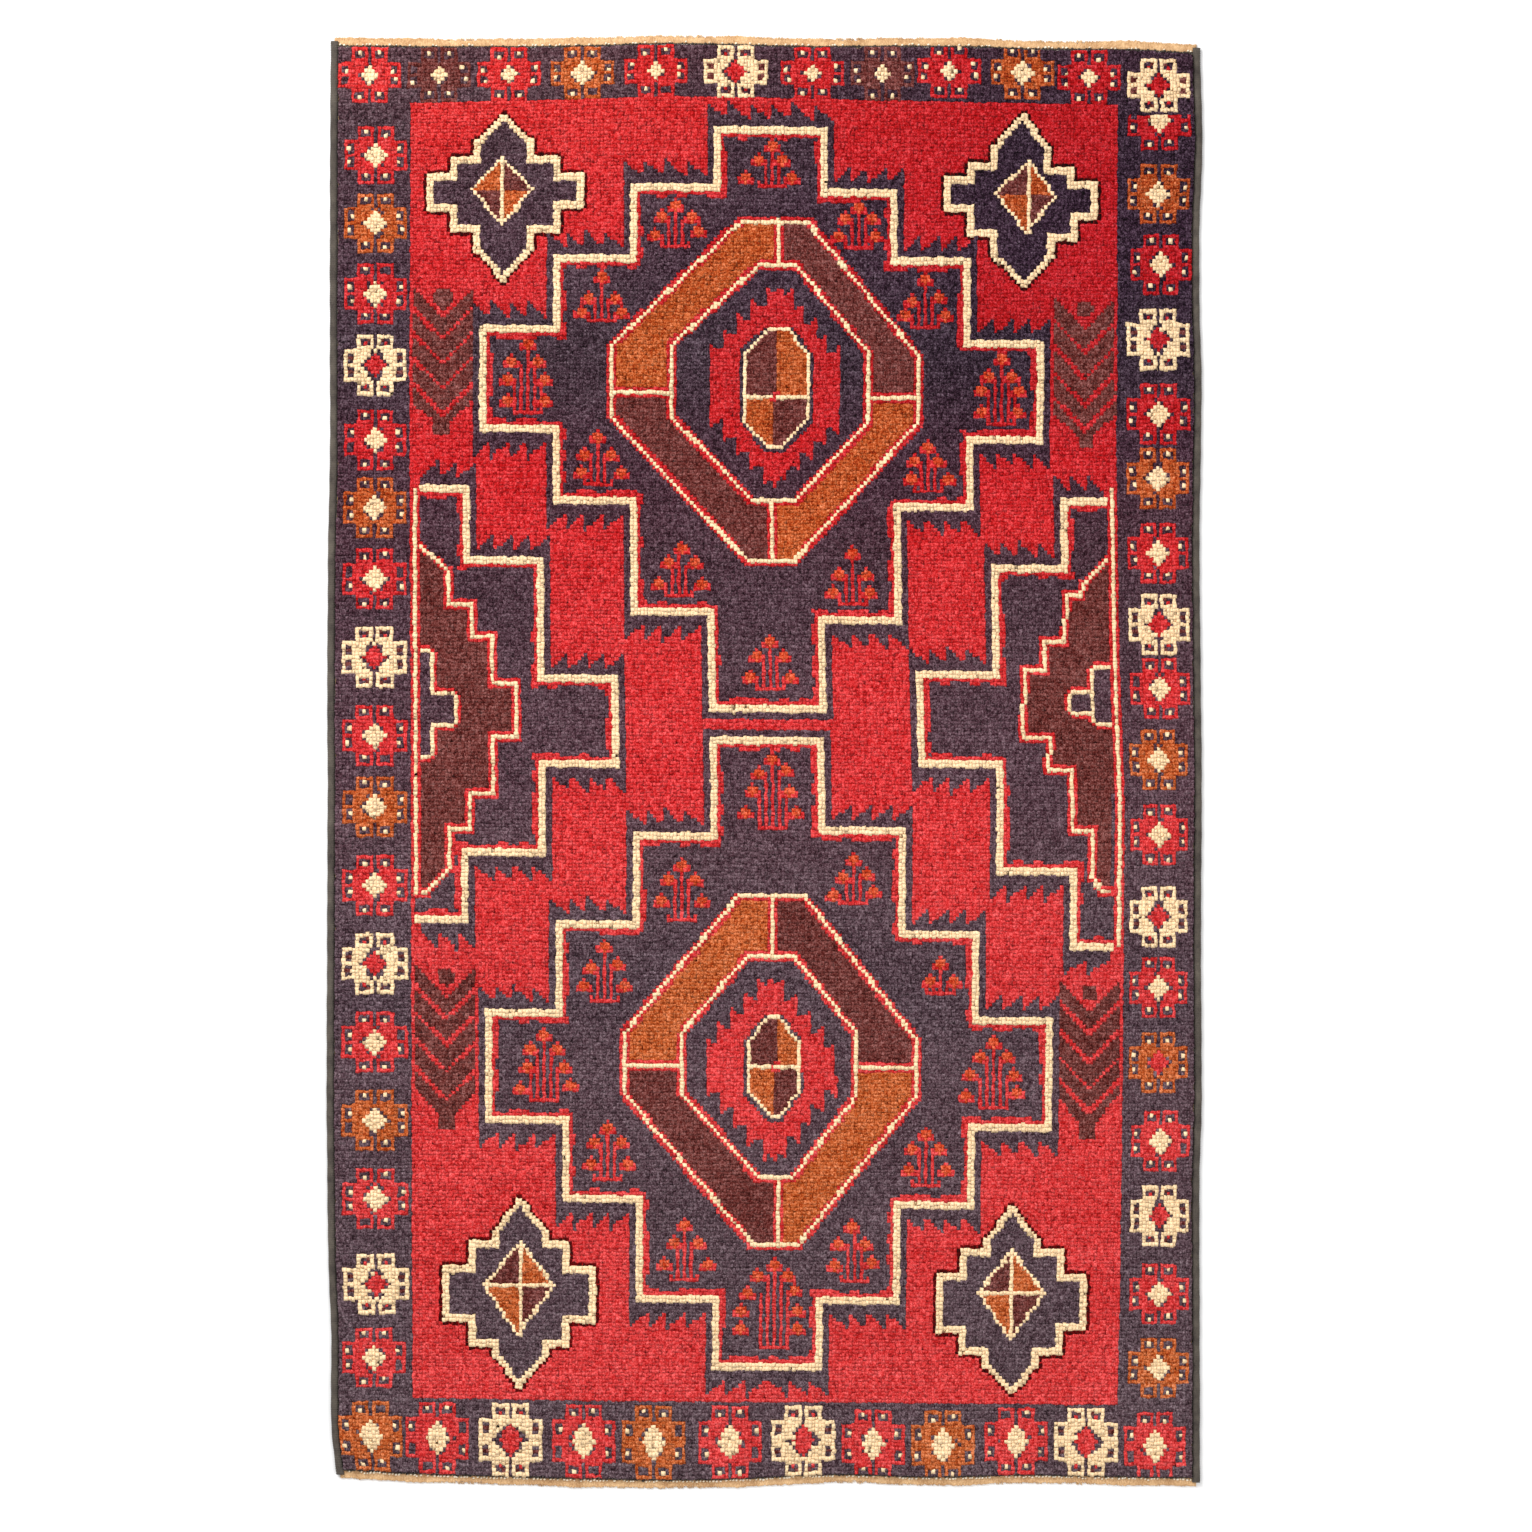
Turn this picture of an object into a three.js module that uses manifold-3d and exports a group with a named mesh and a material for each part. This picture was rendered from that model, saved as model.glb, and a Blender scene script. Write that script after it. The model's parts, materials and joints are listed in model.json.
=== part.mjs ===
// A small hand-knotted wool rug, lying flat. Millimetres, +Z up, the far end at +Y.
// The pile is drawn on a weaver's chart: knot i from the left side, row j from the far end.
import * as THREE from 'three';
import { mergeVertices } from 'three/addons/utils/BufferGeometryUtils.js';
import Module from 'manifold-3d';

const wasm = await Module();
wasm.setup();

// ---- driving sizes -------------------------------------------------------
const KNOTS_ACROSS = 257;        // knots in one row
const KNOT_ROWS = 401;           // rows from the far end to the near end
const KNOT_WIDE = 3.5;           // one knot, across the rug
const KNOT_LONG = 3.73;          // one row, along the rug
const FOUNDATION_THICK = 2.5;    // warps and wefts under the pile
const PILE_HIGH = 5.5;           // wool standing above the foundation
const AREA_GAP = 0.3;            // parting between one yarn area and the next
const SIDE_CLEARANCE = 0.3;      // play between foundation, selvedge and end weave

const KILIM_LONG = 6;            // flat woven band left at each end
const WARP_END_LONG = 3.9;       // cut warps standing out of that band
const WARP_END_THICK = 1.6;
const WARP_BUNDLES = 43;         // tufts the cut warps have fallen into
const BUNDLE_FILL = 0.84;        // share of each bundle's pitch that is yarn

const SELVEDGE_WIDE = 7.4;       // overcast edge cord, across
const SELVEDGE_HIGH = 5.6;
const WRAP_THICK = 1.0;          // goat-hair overcasting round the cords
const CORD_PLAY = 0.3;           // between cord and cord, and cord and wrap
const ROUND_SIDES = 20;

const OUTLINE_WIDE = 8.8;        // cream line of a medallion
const INLINE_WIDE = 7.1;         // red line inside it
const STAR_LINE = 8.0;           // cream line of a corner star
const RING_LINE = 9.6;           // beaded line of the ring, with its red edges
const OCTAGON_EDGE = 4.8;        // from the middle of the beads to the dark edge

const GUARD_ACROSS = 2;          // knots of navy outside the cream line, at the sides
const GUARD_ROWS = 2;            // rows of navy where there are no teeth
const TOOTH_ROOT = 2.5;          // rows from the cream line to the notch of a tooth
const FAR_TOOTH_TIP = 5.5;       // rows from the cream line to the tip, far side
const NEAR_TOOTH_TIP = 6.3;      // the same on the near side

const FIELD_LEFT = 22;           // the red field inside the border, in knots
const FIELD_RIGHT = 234;
const FIELD_FAR = 15;
const FIELD_NEAR = 381;

// ---- yarns ---------------------------------------------------------------
const yarn = (color) => () => new THREE.MeshStandardMaterial({ color, roughness: 0.95 });
const NAVY = yarn(0x3a3342);
const RED = yarn(0xb3242e);
const CREAM = yarn(0xecd2a6);
const GOLD = yarn(0xa8622c);
const BROWN = yarn(0x4d2a2b);
const COTTON = yarn(0xc9a878);
const GOAT_HAIR = yarn(0x474039);

// ---- the chart -----------------------------------------------------------
// True where a corner of a closed outline differs from the corner before it.
function isNew([x, y], k, all) {
  const [u, v] = all[(k + all.length - 1) % all.length];
  return Math.hypot(x - u, y - v) > 1e-6;
}

const acrossAt = (i) => (i - KNOTS_ACROSS / 2) * KNOT_WIDE;
const alongAt = (j) => (KNOT_ROWS / 2 - j) * KNOT_LONG;
const charted = (points) => points.map(([i, j]) => [acrossAt(i), alongAt(j)]).filter(isNew);
const PILE_WIDE = KNOTS_ACROSS * KNOT_WIDE;
const PILE_LONG = KNOT_ROWS * KNOT_LONG;

function signedArea(points) {
  let sum = 0;
  points.forEach(([x, y], k) => {
    const [u, v] = points[(k + 1) % points.length];
    sum += x * v - u * y;
  });
  return sum / 2;
}

function outwardNormal(a, b, turn) {
  const length = Math.hypot(b[0] - a[0], b[1] - a[1]);
  return [(turn * (b[1] - a[1])) / length, (turn * (a[0] - b[0])) / length];
}

// Moves every side of a closed outline outwards by d (inwards when d is negative).
function grown(points, d) {
  const count = points.length;
  const turn = Math.sign(signedArea(points));
  return points.map((here, k) => {
    const n = outwardNormal(points[(k + count - 1) % count], here, turn);
    const m = outwardNormal(here, points[(k + 1) % count], turn);
    const share = d / (1 + n[0] * m[0] + n[1] * m[1]);
    return [here[0] + (n[0] + m[0]) * share, here[1] + (n[1] + m[1]) * share];
  });
}

// ---- solids --------------------------------------------------------------
const rug = new THREE.Group();
rug.name = 'area_rug';

function addMesh(name, geometry, material) {
  const mesh = new THREE.Mesh(geometry, material());
  mesh.name = name;
  rug.add(mesh);
}

function plainPrism(outline, thick, from) {
  const turned = signedArea(outline) > 0 ? outline : outline.slice().reverse();
  const shape = new THREE.Shape(turned.map(([x, y]) => new THREE.Vector2(x, y)));
  const solid = new THREE.ExtrudeGeometry(shape, { depth: thick, bevelEnabled: false });
  solid.translate(0, 0, from);
  return solid;
}

function toSolid(geometry) {
  geometry.deleteAttribute('normal');
  geometry.deleteAttribute('uv');
  const merged = mergeVertices(geometry, 1e-5);
  const vertProperties = new Float32Array(merged.attributes.position.array);
  const triVerts = new Uint32Array(merged.index.array);
  return new wasm.Manifold(new wasm.Mesh({ numProp: 3, vertProperties, triVerts }));
}

function toGeometry(solid) {
  const mesh = solid.getMesh();
  const geometry = new THREE.BufferGeometry();
  geometry.setAttribute('position', new THREE.BufferAttribute(mesh.vertProperties, 3));
  geometry.setIndex(new THREE.BufferAttribute(mesh.triVerts, 1));
  geometry.computeVertexNormals();
  return geometry;
}

// An outline raised to a flat solid, with its holes cut right through.
function prism(outer, holes, thick, from) {
  if (holes.length === 0) return plainPrism(outer, thick, from);
  const cutter = (hole) => toSolid(plainPrism(hole, thick + 2, from - 1));
  const whole = toSolid(plainPrism(outer, thick, from));
  return toGeometry(holes.reduce((solid, hole) => solid.subtract(cutter(hole)), whole));
}

// One area of pile in one yarn, standing on the foundation.
function addPile(name, material, outer, holes = []) {
  const half = AREA_GAP / 2;
  const inside = holes.map((hole) => grown(hole, half));
  addMesh(name, prism(grown(outer, -half), inside, PILE_HIGH, FOUNDATION_THICK), material);
}

function rectangle(left, right, near, far) {
  return [[left, near], [right, near], [right, far], [left, far]];
}

function oval(wide, high, x, z) {
  return Array.from({ length: ROUND_SIDES }, (_, k) => {
    const angle = (2 * Math.PI * k) / ROUND_SIDES;
    return [x + (Math.cos(angle) * wide) / 2, z + (Math.sin(angle) * high) / 2];
  });
}

// Runs a cross-section drawn in X and Z along the rug.
function runAlong(section, holes, length) {
  const solid = prism(section, holes, length, -length / 2);
  solid.rotateX(Math.PI / 2);
  return solid;
}

// ---- foundation, ends and edges -------------------------------------------
function addFoundation() {
  const half = [PILE_WIDE / 2, PILE_LONG / 2];
  const slab = rectangle(-half[0], half[0], -half[1], half[1]);
  addMesh('foundation_weave', prism(slab, [], FOUNDATION_THICK, 0), COTTON);
}

function combOutline(start, sign) {
  const pitch = PILE_WIDE / WARP_BUNDLES;
  const root = start + sign * 1;
  const tip = start + sign * WARP_END_LONG;
  const points = [[-PILE_WIDE / 2, start]];
  for (let k = 0; k < WARP_BUNDLES; k++) {
    const left = -PILE_WIDE / 2 + k * pitch;
    const right = left + pitch * BUNDLE_FILL;
    points.push([left, tip], [right, tip], [right, root]);
    if (k < WARP_BUNDLES - 1) points.push([left + pitch, root]);
  }
  points.push([-PILE_WIDE / 2 + PILE_WIDE - pitch * (1 - BUNDLE_FILL), start]);
  return points;
}

function addEnd(place, sign) {
  const start = sign * (PILE_LONG / 2 + SIDE_CLEARANCE);
  const stop = start + sign * KILIM_LONG;
  const band = rectangle(-PILE_WIDE / 2, PILE_WIDE / 2, start, stop);
  addMesh(`end_kilim_${place}`, prism(band, [], FOUNDATION_THICK, 0), COTTON);
  const comb = combOutline(stop, sign);
  addMesh(`warp_ends_${place}`, prism(comb, [], WARP_END_THICK, 0), COTTON);
}

function addSelvedge(place, sign) {
  const middle = sign * (PILE_WIDE / 2 + SIDE_CLEARANCE + SELVEDGE_WIDE / 2);
  const height = SELVEDGE_HIGH / 2;
  const length = PILE_LONG + 2 * (SIDE_CLEARANCE + KILIM_LONG);
  const skin = oval(SELVEDGE_WIDE, SELVEDGE_HIGH, middle, height);
  const bore = oval(SELVEDGE_WIDE - 2 * WRAP_THICK, SELVEDGE_HIGH - 2 * WRAP_THICK, middle, height);
  addMesh(`selvedge_wrap_${place}`, runAlong(skin, [bore], length), GOAT_HAIR);
  const cord = (SELVEDGE_WIDE - 2 * WRAP_THICK - 3 * CORD_PLAY) / 2;
  for (const [side, away] of [['inner', -sign], ['outer', sign]]) {
    const at = middle + (away * (cord + CORD_PLAY)) / 2;
    const section = oval(cord, cord, at, height);
    addMesh(`selvedge_cord_${place}_${side}`, runAlong(section, [], length), COTTON);
  }
}

// ---- stepped outlines ------------------------------------------------------
// A step is [i, j]: the side of the step at knot i and its flat at row j.
function staircase(steps) {
  return steps.flatMap(([i, j], k) => (k === 0 ? [[i, j]] : [[steps[k - 1][0], j], [i, j]]));
}

// Saw teeth from knot a to knot b; each leans its tip to the left (-1) or the right (+1).
function sawTeeth(a, b, root, tip, count, lean) {
  const pitch = (b - a) / count;
  return Array.from({ length: count }, (_, k) => {
    const left = a + k * pitch;
    const right = a + (k + 1) * pitch;
    return lean < 0 ? [[left, tip], [right, root]] : [[left, root], [right, tip]];
  }).flat();
}

// The outer edge of the navy guard along one staircase, centre step first.
// out is -1 on the left side, +1 on the right; way is -1 on the far side, +1 on the near.
function guardStairs(steps, out, way, teeth) {
  const tip = way < 0 ? FAR_TOOTH_TIP : NEAR_TOOTH_TIP;
  const run = ([i, j], k) => {
    const inner = steps[k - 1][0] + out * GUARD_ACROSS;
    const outer = i + out * GUARD_ACROSS;
    const saw = sawTeeth(Math.min(inner, outer), Math.max(inner, outer),
      j + way * TOOTH_ROOT, j + way * tip, teeth, out);
    return out > 0 ? saw : saw.reverse();
  };
  return steps.slice(1).flatMap((step, k) => run(step, k + 1));
}

// The edge of the guard over the end step, with or without teeth.
function guardEnd(left, right, j, way, teeth) {
  const a = left - GUARD_ACROSS;
  const b = right + GUARD_ACROSS;
  if (teeth === 0) return [[a, j + way * GUARD_ROWS], [b, j + way * GUARD_ROWS]];
  const middle = (a + b) / 2;
  const root = j + way * TOOTH_ROOT;
  const tip = j + way * (way < 0 ? FAR_TOOTH_TIP + 0.5 : NEAR_TOOTH_TIP);
  return [...sawTeeth(a, middle, root, tip, teeth, -1), ...sawTeeth(middle, b, root, tip, teeth, 1)];
}

// ---- the two great medallions ----------------------------------------------
// Stairs run from the end step outwards. Ring and octagon corners go round from the far left.
const FAR_MEDALLION = {
  place: 'far',
  farLeft: [[112, 23], [88, 39], [65, 59], [43, 80]],
  farRight: [[147, 23], [168, 40], [190, 59], [212, 81]],
  nearRight: [[146, 187], [168, 162], [190, 131], [212, 111]],
  nearLeft: [[111, 187], [88, 160], [65, 130], [43, 108]],
  farTeeth: 3,
  nearTeeth: 0,
  ring: [[121, 49], [141, 49], [174, 87], [174, 106], [137, 145], [123, 145], [82.5, 104], [82.5, 84]],
  hub: [[126.5, 61.5], [137.5, 61.5], [159, 86], [159, 106], [137, 128], [124.5, 128], [100, 104], [100, 84]],
  dividers: { far: 132, right: 99, near: 130.5, left: 97.5 },
  lozenge: { middle: 130.8, half: 19.5, far: 83, near: 108.5 },
  octagon: [[129, 80], [135, 80], [141, 86.5], [141, 105], [133.5, 113], [129, 113], [122, 105], [122, 86]],
};
const NEAR_MEDALLION = {
  place: 'near',
  farLeft: [[112, 193], [88, 221], [66, 245], [45, 270]],
  farRight: [[147, 193], [170, 219], [193, 248], [213, 271]],
  nearRight: [[146, 372], [168, 354], [191, 326], [213, 304]],
  nearLeft: [[112, 372], [90, 353], [68, 325], [45, 303]],
  farTeeth: 0,
  nearTeeth: 3,
  ring: [[120.5, 239], [140, 239], [173.5, 279], [173.5, 295], [138, 337], [124.5, 337], [86, 294], [86, 277]],
  hub: [[123, 255.5], [137, 255.5], [155, 277], [155, 295], [136.5, 318], [126.5, 318], [103.5, 294], [103.5, 277]],
  dividers: { far: 130.5, right: 287, near: 131.8, left: 286 },
  lozenge: { middle: 130.2, half: 19.5, far: 278.5, near: 295.5 },
  octagon: [[129, 273], [132.5, 273], [138, 280], [138, 293.5], [132.5, 300.5], [130, 300.5], [123, 293.5], [123, 280]],
};

function medallionOutline(m) {
  return [
    ...staircase(m.farRight),
    ...staircase(m.nearRight).reverse(),
    ...staircase(m.nearLeft),
    ...staircase(m.farLeft).reverse(),
  ];
}

function guardOutline(m) {
  const stairs = (steps, out, way) => guardStairs(steps, out, way, 4);
  return [
    ...guardEnd(m.farLeft[0][0], m.farRight[0][0], m.farLeft[0][1], -1, m.farTeeth),
    ...stairs(m.farRight, 1, -1),
    ...stairs(m.nearRight, 1, 1).reverse(),
    ...guardEnd(m.nearLeft[0][0], m.nearRight[0][0], m.nearLeft[0][1], 1, m.nearTeeth).reverse(),
    ...stairs(m.nearLeft, -1, 1),
    ...stairs(m.farLeft, -1, -1).reverse(),
  ];
}

// The four quarters of the ring, drawn on the middles of the beaded lines.
function ringQuarters(m) {
  const { ring, hub, dividers } = m;
  const farAt = [[dividers.far, ring[0][1]], [dividers.far, hub[0][1]]];
  const rightAt = [[ring[2][0], dividers.right], [hub[2][0], dividers.right]];
  const nearAt = [[dividers.near, ring[4][1]], [dividers.near, hub[4][1]]];
  const leftAt = [[ring[6][0], dividers.left], [hub[6][0], dividers.left]];
  return {
    far_right: [farAt[0], ring[1], ring[2], rightAt[0], rightAt[1], hub[2], hub[1], farAt[1]],
    near_right: [rightAt[0], ring[3], ring[4], nearAt[0], nearAt[1], hub[4], hub[3], rightAt[1]],
    near_left: [nearAt[0], ring[5], ring[6], leftAt[0], leftAt[1], hub[6], hub[5], nearAt[1]],
    far_left: [leftAt[0], ring[7], ring[0], farAt[0], farAt[1], hub[0], hub[7], leftAt[1]],
  };
}

// A red lozenge with a tooth on every step, mirrored about its middle knot.
function lozengeOutline({ middle, half, far, near }) {
  const steps = 4;
  const stepAcross = 4.2;
  const stepRows = 4.1;
  const notch = 2.2;
  const quarter = (start, way) => {
    const points = [];
    for (let k = 0; k < steps; k++) {
      const tip = start + way * k * stepRows;
      points.push([half - k * stepAcross, tip], [half - (k + 1) * stepAcross, tip - way * notch]);
    }
    const last = start + way * steps * stepRows;
    points.push([half - steps * stepAcross, last], [1.2, last - way * notch], [0, last]);
    return points;
  };
  const farHalf = quarter(far, -1);
  const nearHalf = quarter(near, 1);
  const side = (points, out) => points.map(([i, j]) => [middle + out * i, j]);
  return [
    ...side(farHalf, -1),
    ...side(farHalf, 1).slice(0, -1).reverse(),
    ...side(nearHalf, 1),
    ...side(nearHalf, -1).slice(0, -1).reverse(),
  ];
}

function addMedallion(m) {
  const name = (part) => `${m.place}_medallion_${part}`;
  const cream = charted(medallionOutline(m));
  const red = grown(cream, -OUTLINE_WIDE);
  const ground = grown(red, -INLINE_WIDE);
  addPile(name('guard'), NAVY, charted(guardOutline(m)), [cream]);
  addPile(name('outline'), CREAM, cream, [red]);
  addPile(name('inline'), RED, red, [ground]);

  const ringOuter = grown(charted(m.ring), RING_LINE / 2);
  const hub = grown(charted(m.hub), -RING_LINE / 2);
  const quarters = Object.entries(ringQuarters(m));
  const panels = quarters.map(([, corners]) => grown(charted(corners), -RING_LINE / 2));
  addPile(name('ground'), NAVY, ground, [ringOuter]);
  addPile(name('ring_lines'), CREAM, ringOuter, [...panels, hub]);
  quarters.forEach(([place], k) => {
    const material = place === 'far_left' || place === 'near_right' ? GOLD : BROWN;
    addPile(name(`panel_${place}`), material, panels[k]);
  });

  const lozenge = charted(lozengeOutline(m.lozenge));
  const octagon = grown(charted(m.octagon), OCTAGON_EDGE);
  addPile(name('hub_ground'), NAVY, hub, [lozenge]);
  addPile(name('lozenge'), RED, lozenge, [octagon]);
  addPile(name('octagon'), CREAM, octagon);
}

// ---- half medallions at the sides of the field ------------------------------
// Stairs run from the side of the field inwards; the figure likewise, far end first.
const LEFT_HALF = {
  place: 'left',
  edge: FIELD_LEFT,
  inwards: 1,
  far: [[40, 124], [62, 144], [84, 177]],
  near: [[40, 247], [62, 228], [84, 203]],
  figureFar: [[40, 157], [46, 167], [53, 180]],
  figureNear: [[40, 220], [46, 210], [53, 194]],
  figureTips: [[28, 143.5], [33, 149], [33, 232], [28, 237]],
};
const RIGHT_HALF = {
  place: 'right',
  edge: FIELD_RIGHT,
  inwards: -1,
  far: [[217, 126], [196, 145], [174, 175]],
  near: [[219, 253], [197, 232], [174, 203]],
  figureFar: [[218, 154], [212, 167], [206, 175]],
  figureNear: [[220, 219], [213, 202], [206, 193]],
  figureTips: [[227, 146.5], [223, 151], [226, 231], [228, 235]],
};

function halfOutline(h) {
  return [
    [h.edge, h.far[0][1]],
    ...staircase(h.far),
    ...staircase(h.near).reverse(),
    [h.edge, h.near[0][1]],
  ];
}

function halfGuardEdge(h) {
  const first = (steps, way) => {
    const tip = way < 0 ? FAR_TOOTH_TIP : NEAR_TOOTH_TIP;
    const j = steps[0][1];
    const end = steps[0][0] + h.inwards * GUARD_ACROSS;
    const saw = sawTeeth(Math.min(h.edge, end), Math.max(h.edge, end),
      j + way * TOOTH_ROOT, j + way * tip, 3, h.inwards);
    return h.inwards > 0 ? saw : saw.reverse();
  };
  return [
    ...first(h.far, -1),
    ...guardStairs(h.far, h.inwards, -1, 4),
    ...guardStairs(h.near, h.inwards, 1, 4).reverse(),
    ...first(h.near, 1).reverse(),
  ];
}

function figureOutline(h) {
  const [farTip, farShoulder, nearShoulder, nearTip] = h.figureTips;
  const sideAt = h.edge + h.inwards * 6;
  return [
    [sideAt, farTip[1]],
    farTip,
    farShoulder,
    [farShoulder[0], h.figureFar[0][1]],
    ...staircase(h.figureFar),
    ...staircase(h.figureNear).reverse(),
    [nearShoulder[0], h.figureNear[0][1]],
    nearShoulder,
    nearTip,
    [sideAt, nearTip[1]],
  ];
}

function addHalfMedallion(h) {
  const name = (part) => `${h.place}_half_${part}`;
  const outline = halfOutline(h);
  const cream = charted(outline);
  const red = grown(cream, -OUTLINE_WIDE);
  const ground = grown(red, -INLINE_WIDE);
  const figure = charted(figureOutline(h));
  addPile(name('guard'), NAVY, charted([...halfGuardEdge(h), ...outline.slice().reverse()]));
  addPile(name('outline'), CREAM, cream, [red]);
  addPile(name('inline'), RED, red, [ground]);
  addPile(name('ground'), NAVY, ground, [figure]);
  addPile(name('figure'), BROWN, figure);
}

// ---- corner stars -----------------------------------------------------------
// rows: far tip, far shoulder, three flats going out, three flats going in, near shoulder and tip.
const STARS = [
  { place: 'far_left', middle: 49.5, halves: [8.5, 16.5, 23.5], rows: [19, 28, 32, 37, 47, 52, 58, 68] },
  { place: 'far_right', middle: 205.5, halves: [8.5, 16.5, 23.5], rows: [19, 28, 32, 37, 47, 52, 58, 68] },
  { place: 'near_left', middle: 54.5, halves: [8.5, 15.5, 22.5], rows: [324, 334, 337, 343, 360, 367, 370, 378] },
  { place: 'near_right', middle: 201.5, halves: [8.5, 15.5, 22.5], rows: [324, 334, 337, 343, 360, 367, 370, 378] },
];

function starOutline({ middle, halves: [a, b, c], rows: [tip, top, r1, r2, r3, r4, low, end] }) {
  const right = [[a, top], [a, r1], [b, r1], [b, r2], [c, r2], [c, r3], [b, r3], [b, r4], [a, r4], [a, low]];
  return [
    [middle, tip],
    ...right.map(([i, j]) => [middle + i, j]),
    [middle, end],
    ...right.map(([i, j]) => [middle - i, j]).reverse(),
  ];
}

function addStar(star) {
  const cream = charted(starOutline(star));
  const ground = grown(cream, -STAR_LINE);
  addPile(`${star.place}_star_outline`, CREAM, cream, [ground]);
  addPile(`${star.place}_star_ground`, NAVY, ground);
}

// ---- chevron trees ----------------------------------------------------------
const TREES = [
  { place: 'far_left', left: 23, right: 40, far: 69, shoulder: 101, near: 109 },
  { place: 'far_right', left: 215, right: 233, far: 71, shoulder: 104, near: 113 },
  { place: 'near_left', left: 24, right: 42, far: 258, shoulder: 293, near: 304 },
  { place: 'near_right', left: 216, right: 233, far: 263.5, shoulder: 295, near: 307 },
];

// Three points at the far end and a stem at the near end of a V.
function treeOutline({ left, right, far, shoulder, near }) {
  const middle = (left + right) / 2;
  const quarter = (right - left) / 4;
  const notch = far + 6;
  const stem = 2.2;
  return [
    [left, far], [left + quarter, notch], [middle, far], [right - quarter, notch], [right, far],
    [right, shoulder], [middle + stem, near - 4], [middle + stem, near],
    [middle - stem, near], [middle - stem, near - 4], [left, shoulder],
  ];
}

// ---- field and border ---------------------------------------------------------
function fieldOutline() {
  return [
    [FIELD_LEFT, FIELD_FAR],
    [FIELD_RIGHT, FIELD_FAR],
    ...halfGuardEdge(RIGHT_HALF),
    [FIELD_RIGHT, FIELD_NEAR],
    [FIELD_LEFT, FIELD_NEAR],
    ...halfGuardEdge(LEFT_HALF).reverse(),
  ];
}

function addFieldAndBorder() {
  const edge = [0, KNOTS_ACROSS, KNOT_ROWS, 0];
  const field = rectangle(FIELD_LEFT, FIELD_RIGHT, FIELD_NEAR, FIELD_FAR);
  addPile('border_pile', NAVY, charted(rectangle(...edge)), [charted(field)]);
  const holes = [
    guardOutline(FAR_MEDALLION),
    guardOutline(NEAR_MEDALLION),
    ...STARS.map(starOutline),
    ...TREES.map(treeOutline),
  ];
  addPile('field_pile', RED, charted(fieldOutline()), holes.map(charted));
}

// ---- the whole rug --------------------------------------------------------------
addFoundation();
addEnd('far', 1);
addEnd('near', -1);
addSelvedge('left', -1);
addSelvedge('right', 1);
addFieldAndBorder();
addMedallion(FAR_MEDALLION);
addMedallion(NEAR_MEDALLION);
addHalfMedallion(LEFT_HALF);
addHalfMedallion(RIGHT_HALF);
STARS.forEach(addStar);
TREES.forEach((tree) => addPile(`${tree.place}_tree`, BROWN, charted(treeOutline(tree))));

export default rug;
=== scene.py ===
"""Looks of a small hand-knotted wool rug, woven knot by knot on its own loom chart.

The chart holds one yarn for every knot. The knots of one yarn in one motif make one
piece: a closed block of tufts that stands where the CAD pile of that motif stands.
"""

import json
import logging
import math
from dataclasses import dataclass, field
from enum import Enum, IntEnum
from itertools import cycle

import bmesh
import bpy
import numpy as np
from mathutils import Matrix, Vector
from mathutils.bvhtree import BVHTree


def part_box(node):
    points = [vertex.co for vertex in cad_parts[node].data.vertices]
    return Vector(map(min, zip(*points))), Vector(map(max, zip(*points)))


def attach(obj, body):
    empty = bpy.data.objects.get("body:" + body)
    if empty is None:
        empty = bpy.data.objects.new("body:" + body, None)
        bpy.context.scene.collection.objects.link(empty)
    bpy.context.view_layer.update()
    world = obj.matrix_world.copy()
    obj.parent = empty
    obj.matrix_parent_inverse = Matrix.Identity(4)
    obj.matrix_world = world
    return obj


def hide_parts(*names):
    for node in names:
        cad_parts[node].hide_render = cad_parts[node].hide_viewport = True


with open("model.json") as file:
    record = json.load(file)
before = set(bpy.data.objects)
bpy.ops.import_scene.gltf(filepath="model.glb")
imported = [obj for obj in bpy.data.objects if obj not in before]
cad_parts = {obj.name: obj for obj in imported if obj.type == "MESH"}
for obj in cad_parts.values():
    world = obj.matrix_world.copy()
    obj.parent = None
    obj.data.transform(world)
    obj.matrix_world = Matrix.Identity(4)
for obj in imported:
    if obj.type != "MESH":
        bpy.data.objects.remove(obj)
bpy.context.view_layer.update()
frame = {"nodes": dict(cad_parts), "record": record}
LOG = logging.getLogger("rug")
BODY = "root"
SEED = 41

Point = tuple[float, float]


class Yarn(IntEnum):
    """The dyed yarns on the loom."""

    NAVY = 0
    RED = 1
    CREAM = 2
    GOLD = 3
    BROWN = 4
    ORANGE = 5


class Edge(Enum):
    """The two ends of the rug, with the way each one faces along the rug."""

    FAR = 1
    NEAR = -1


class Side(Enum):
    """The two long sides of the rug, with the way each one faces across it."""

    LEFT = -1
    RIGHT = 1


# ---- the loom ---------------------------------------------------------------


@dataclass(frozen=True)
class Loom:
    """The knot grid, laid into the space of the CAD pile."""

    knots: int = 257
    rows: int = 401
    pile_low: Vector = field(default_factory=lambda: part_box("border_pile")[0])
    pile_high: Vector = field(default_factory=lambda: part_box("border_pile")[1])

    @property
    def knot_wide(self) -> float:
        """Width of one knot in metres."""
        return (self.pile_high.x - self.pile_low.x) / self.knots

    @property
    def knot_long(self) -> float:
        """Length of one row in metres."""
        return (self.pile_high.y - self.pile_low.y) / self.rows

    def across(self, i: np.ndarray) -> np.ndarray:
        """Place across the rug, in metres, of knot number i."""
        return self.pile_low.x + i * self.knot_wide

    def along(self, j: np.ndarray) -> np.ndarray:
        """Place along the rug, in metres, of row number j, which counts from the far end."""
        return self.pile_high.y - j * self.knot_long


Profile = tuple[Point, ...]


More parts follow.
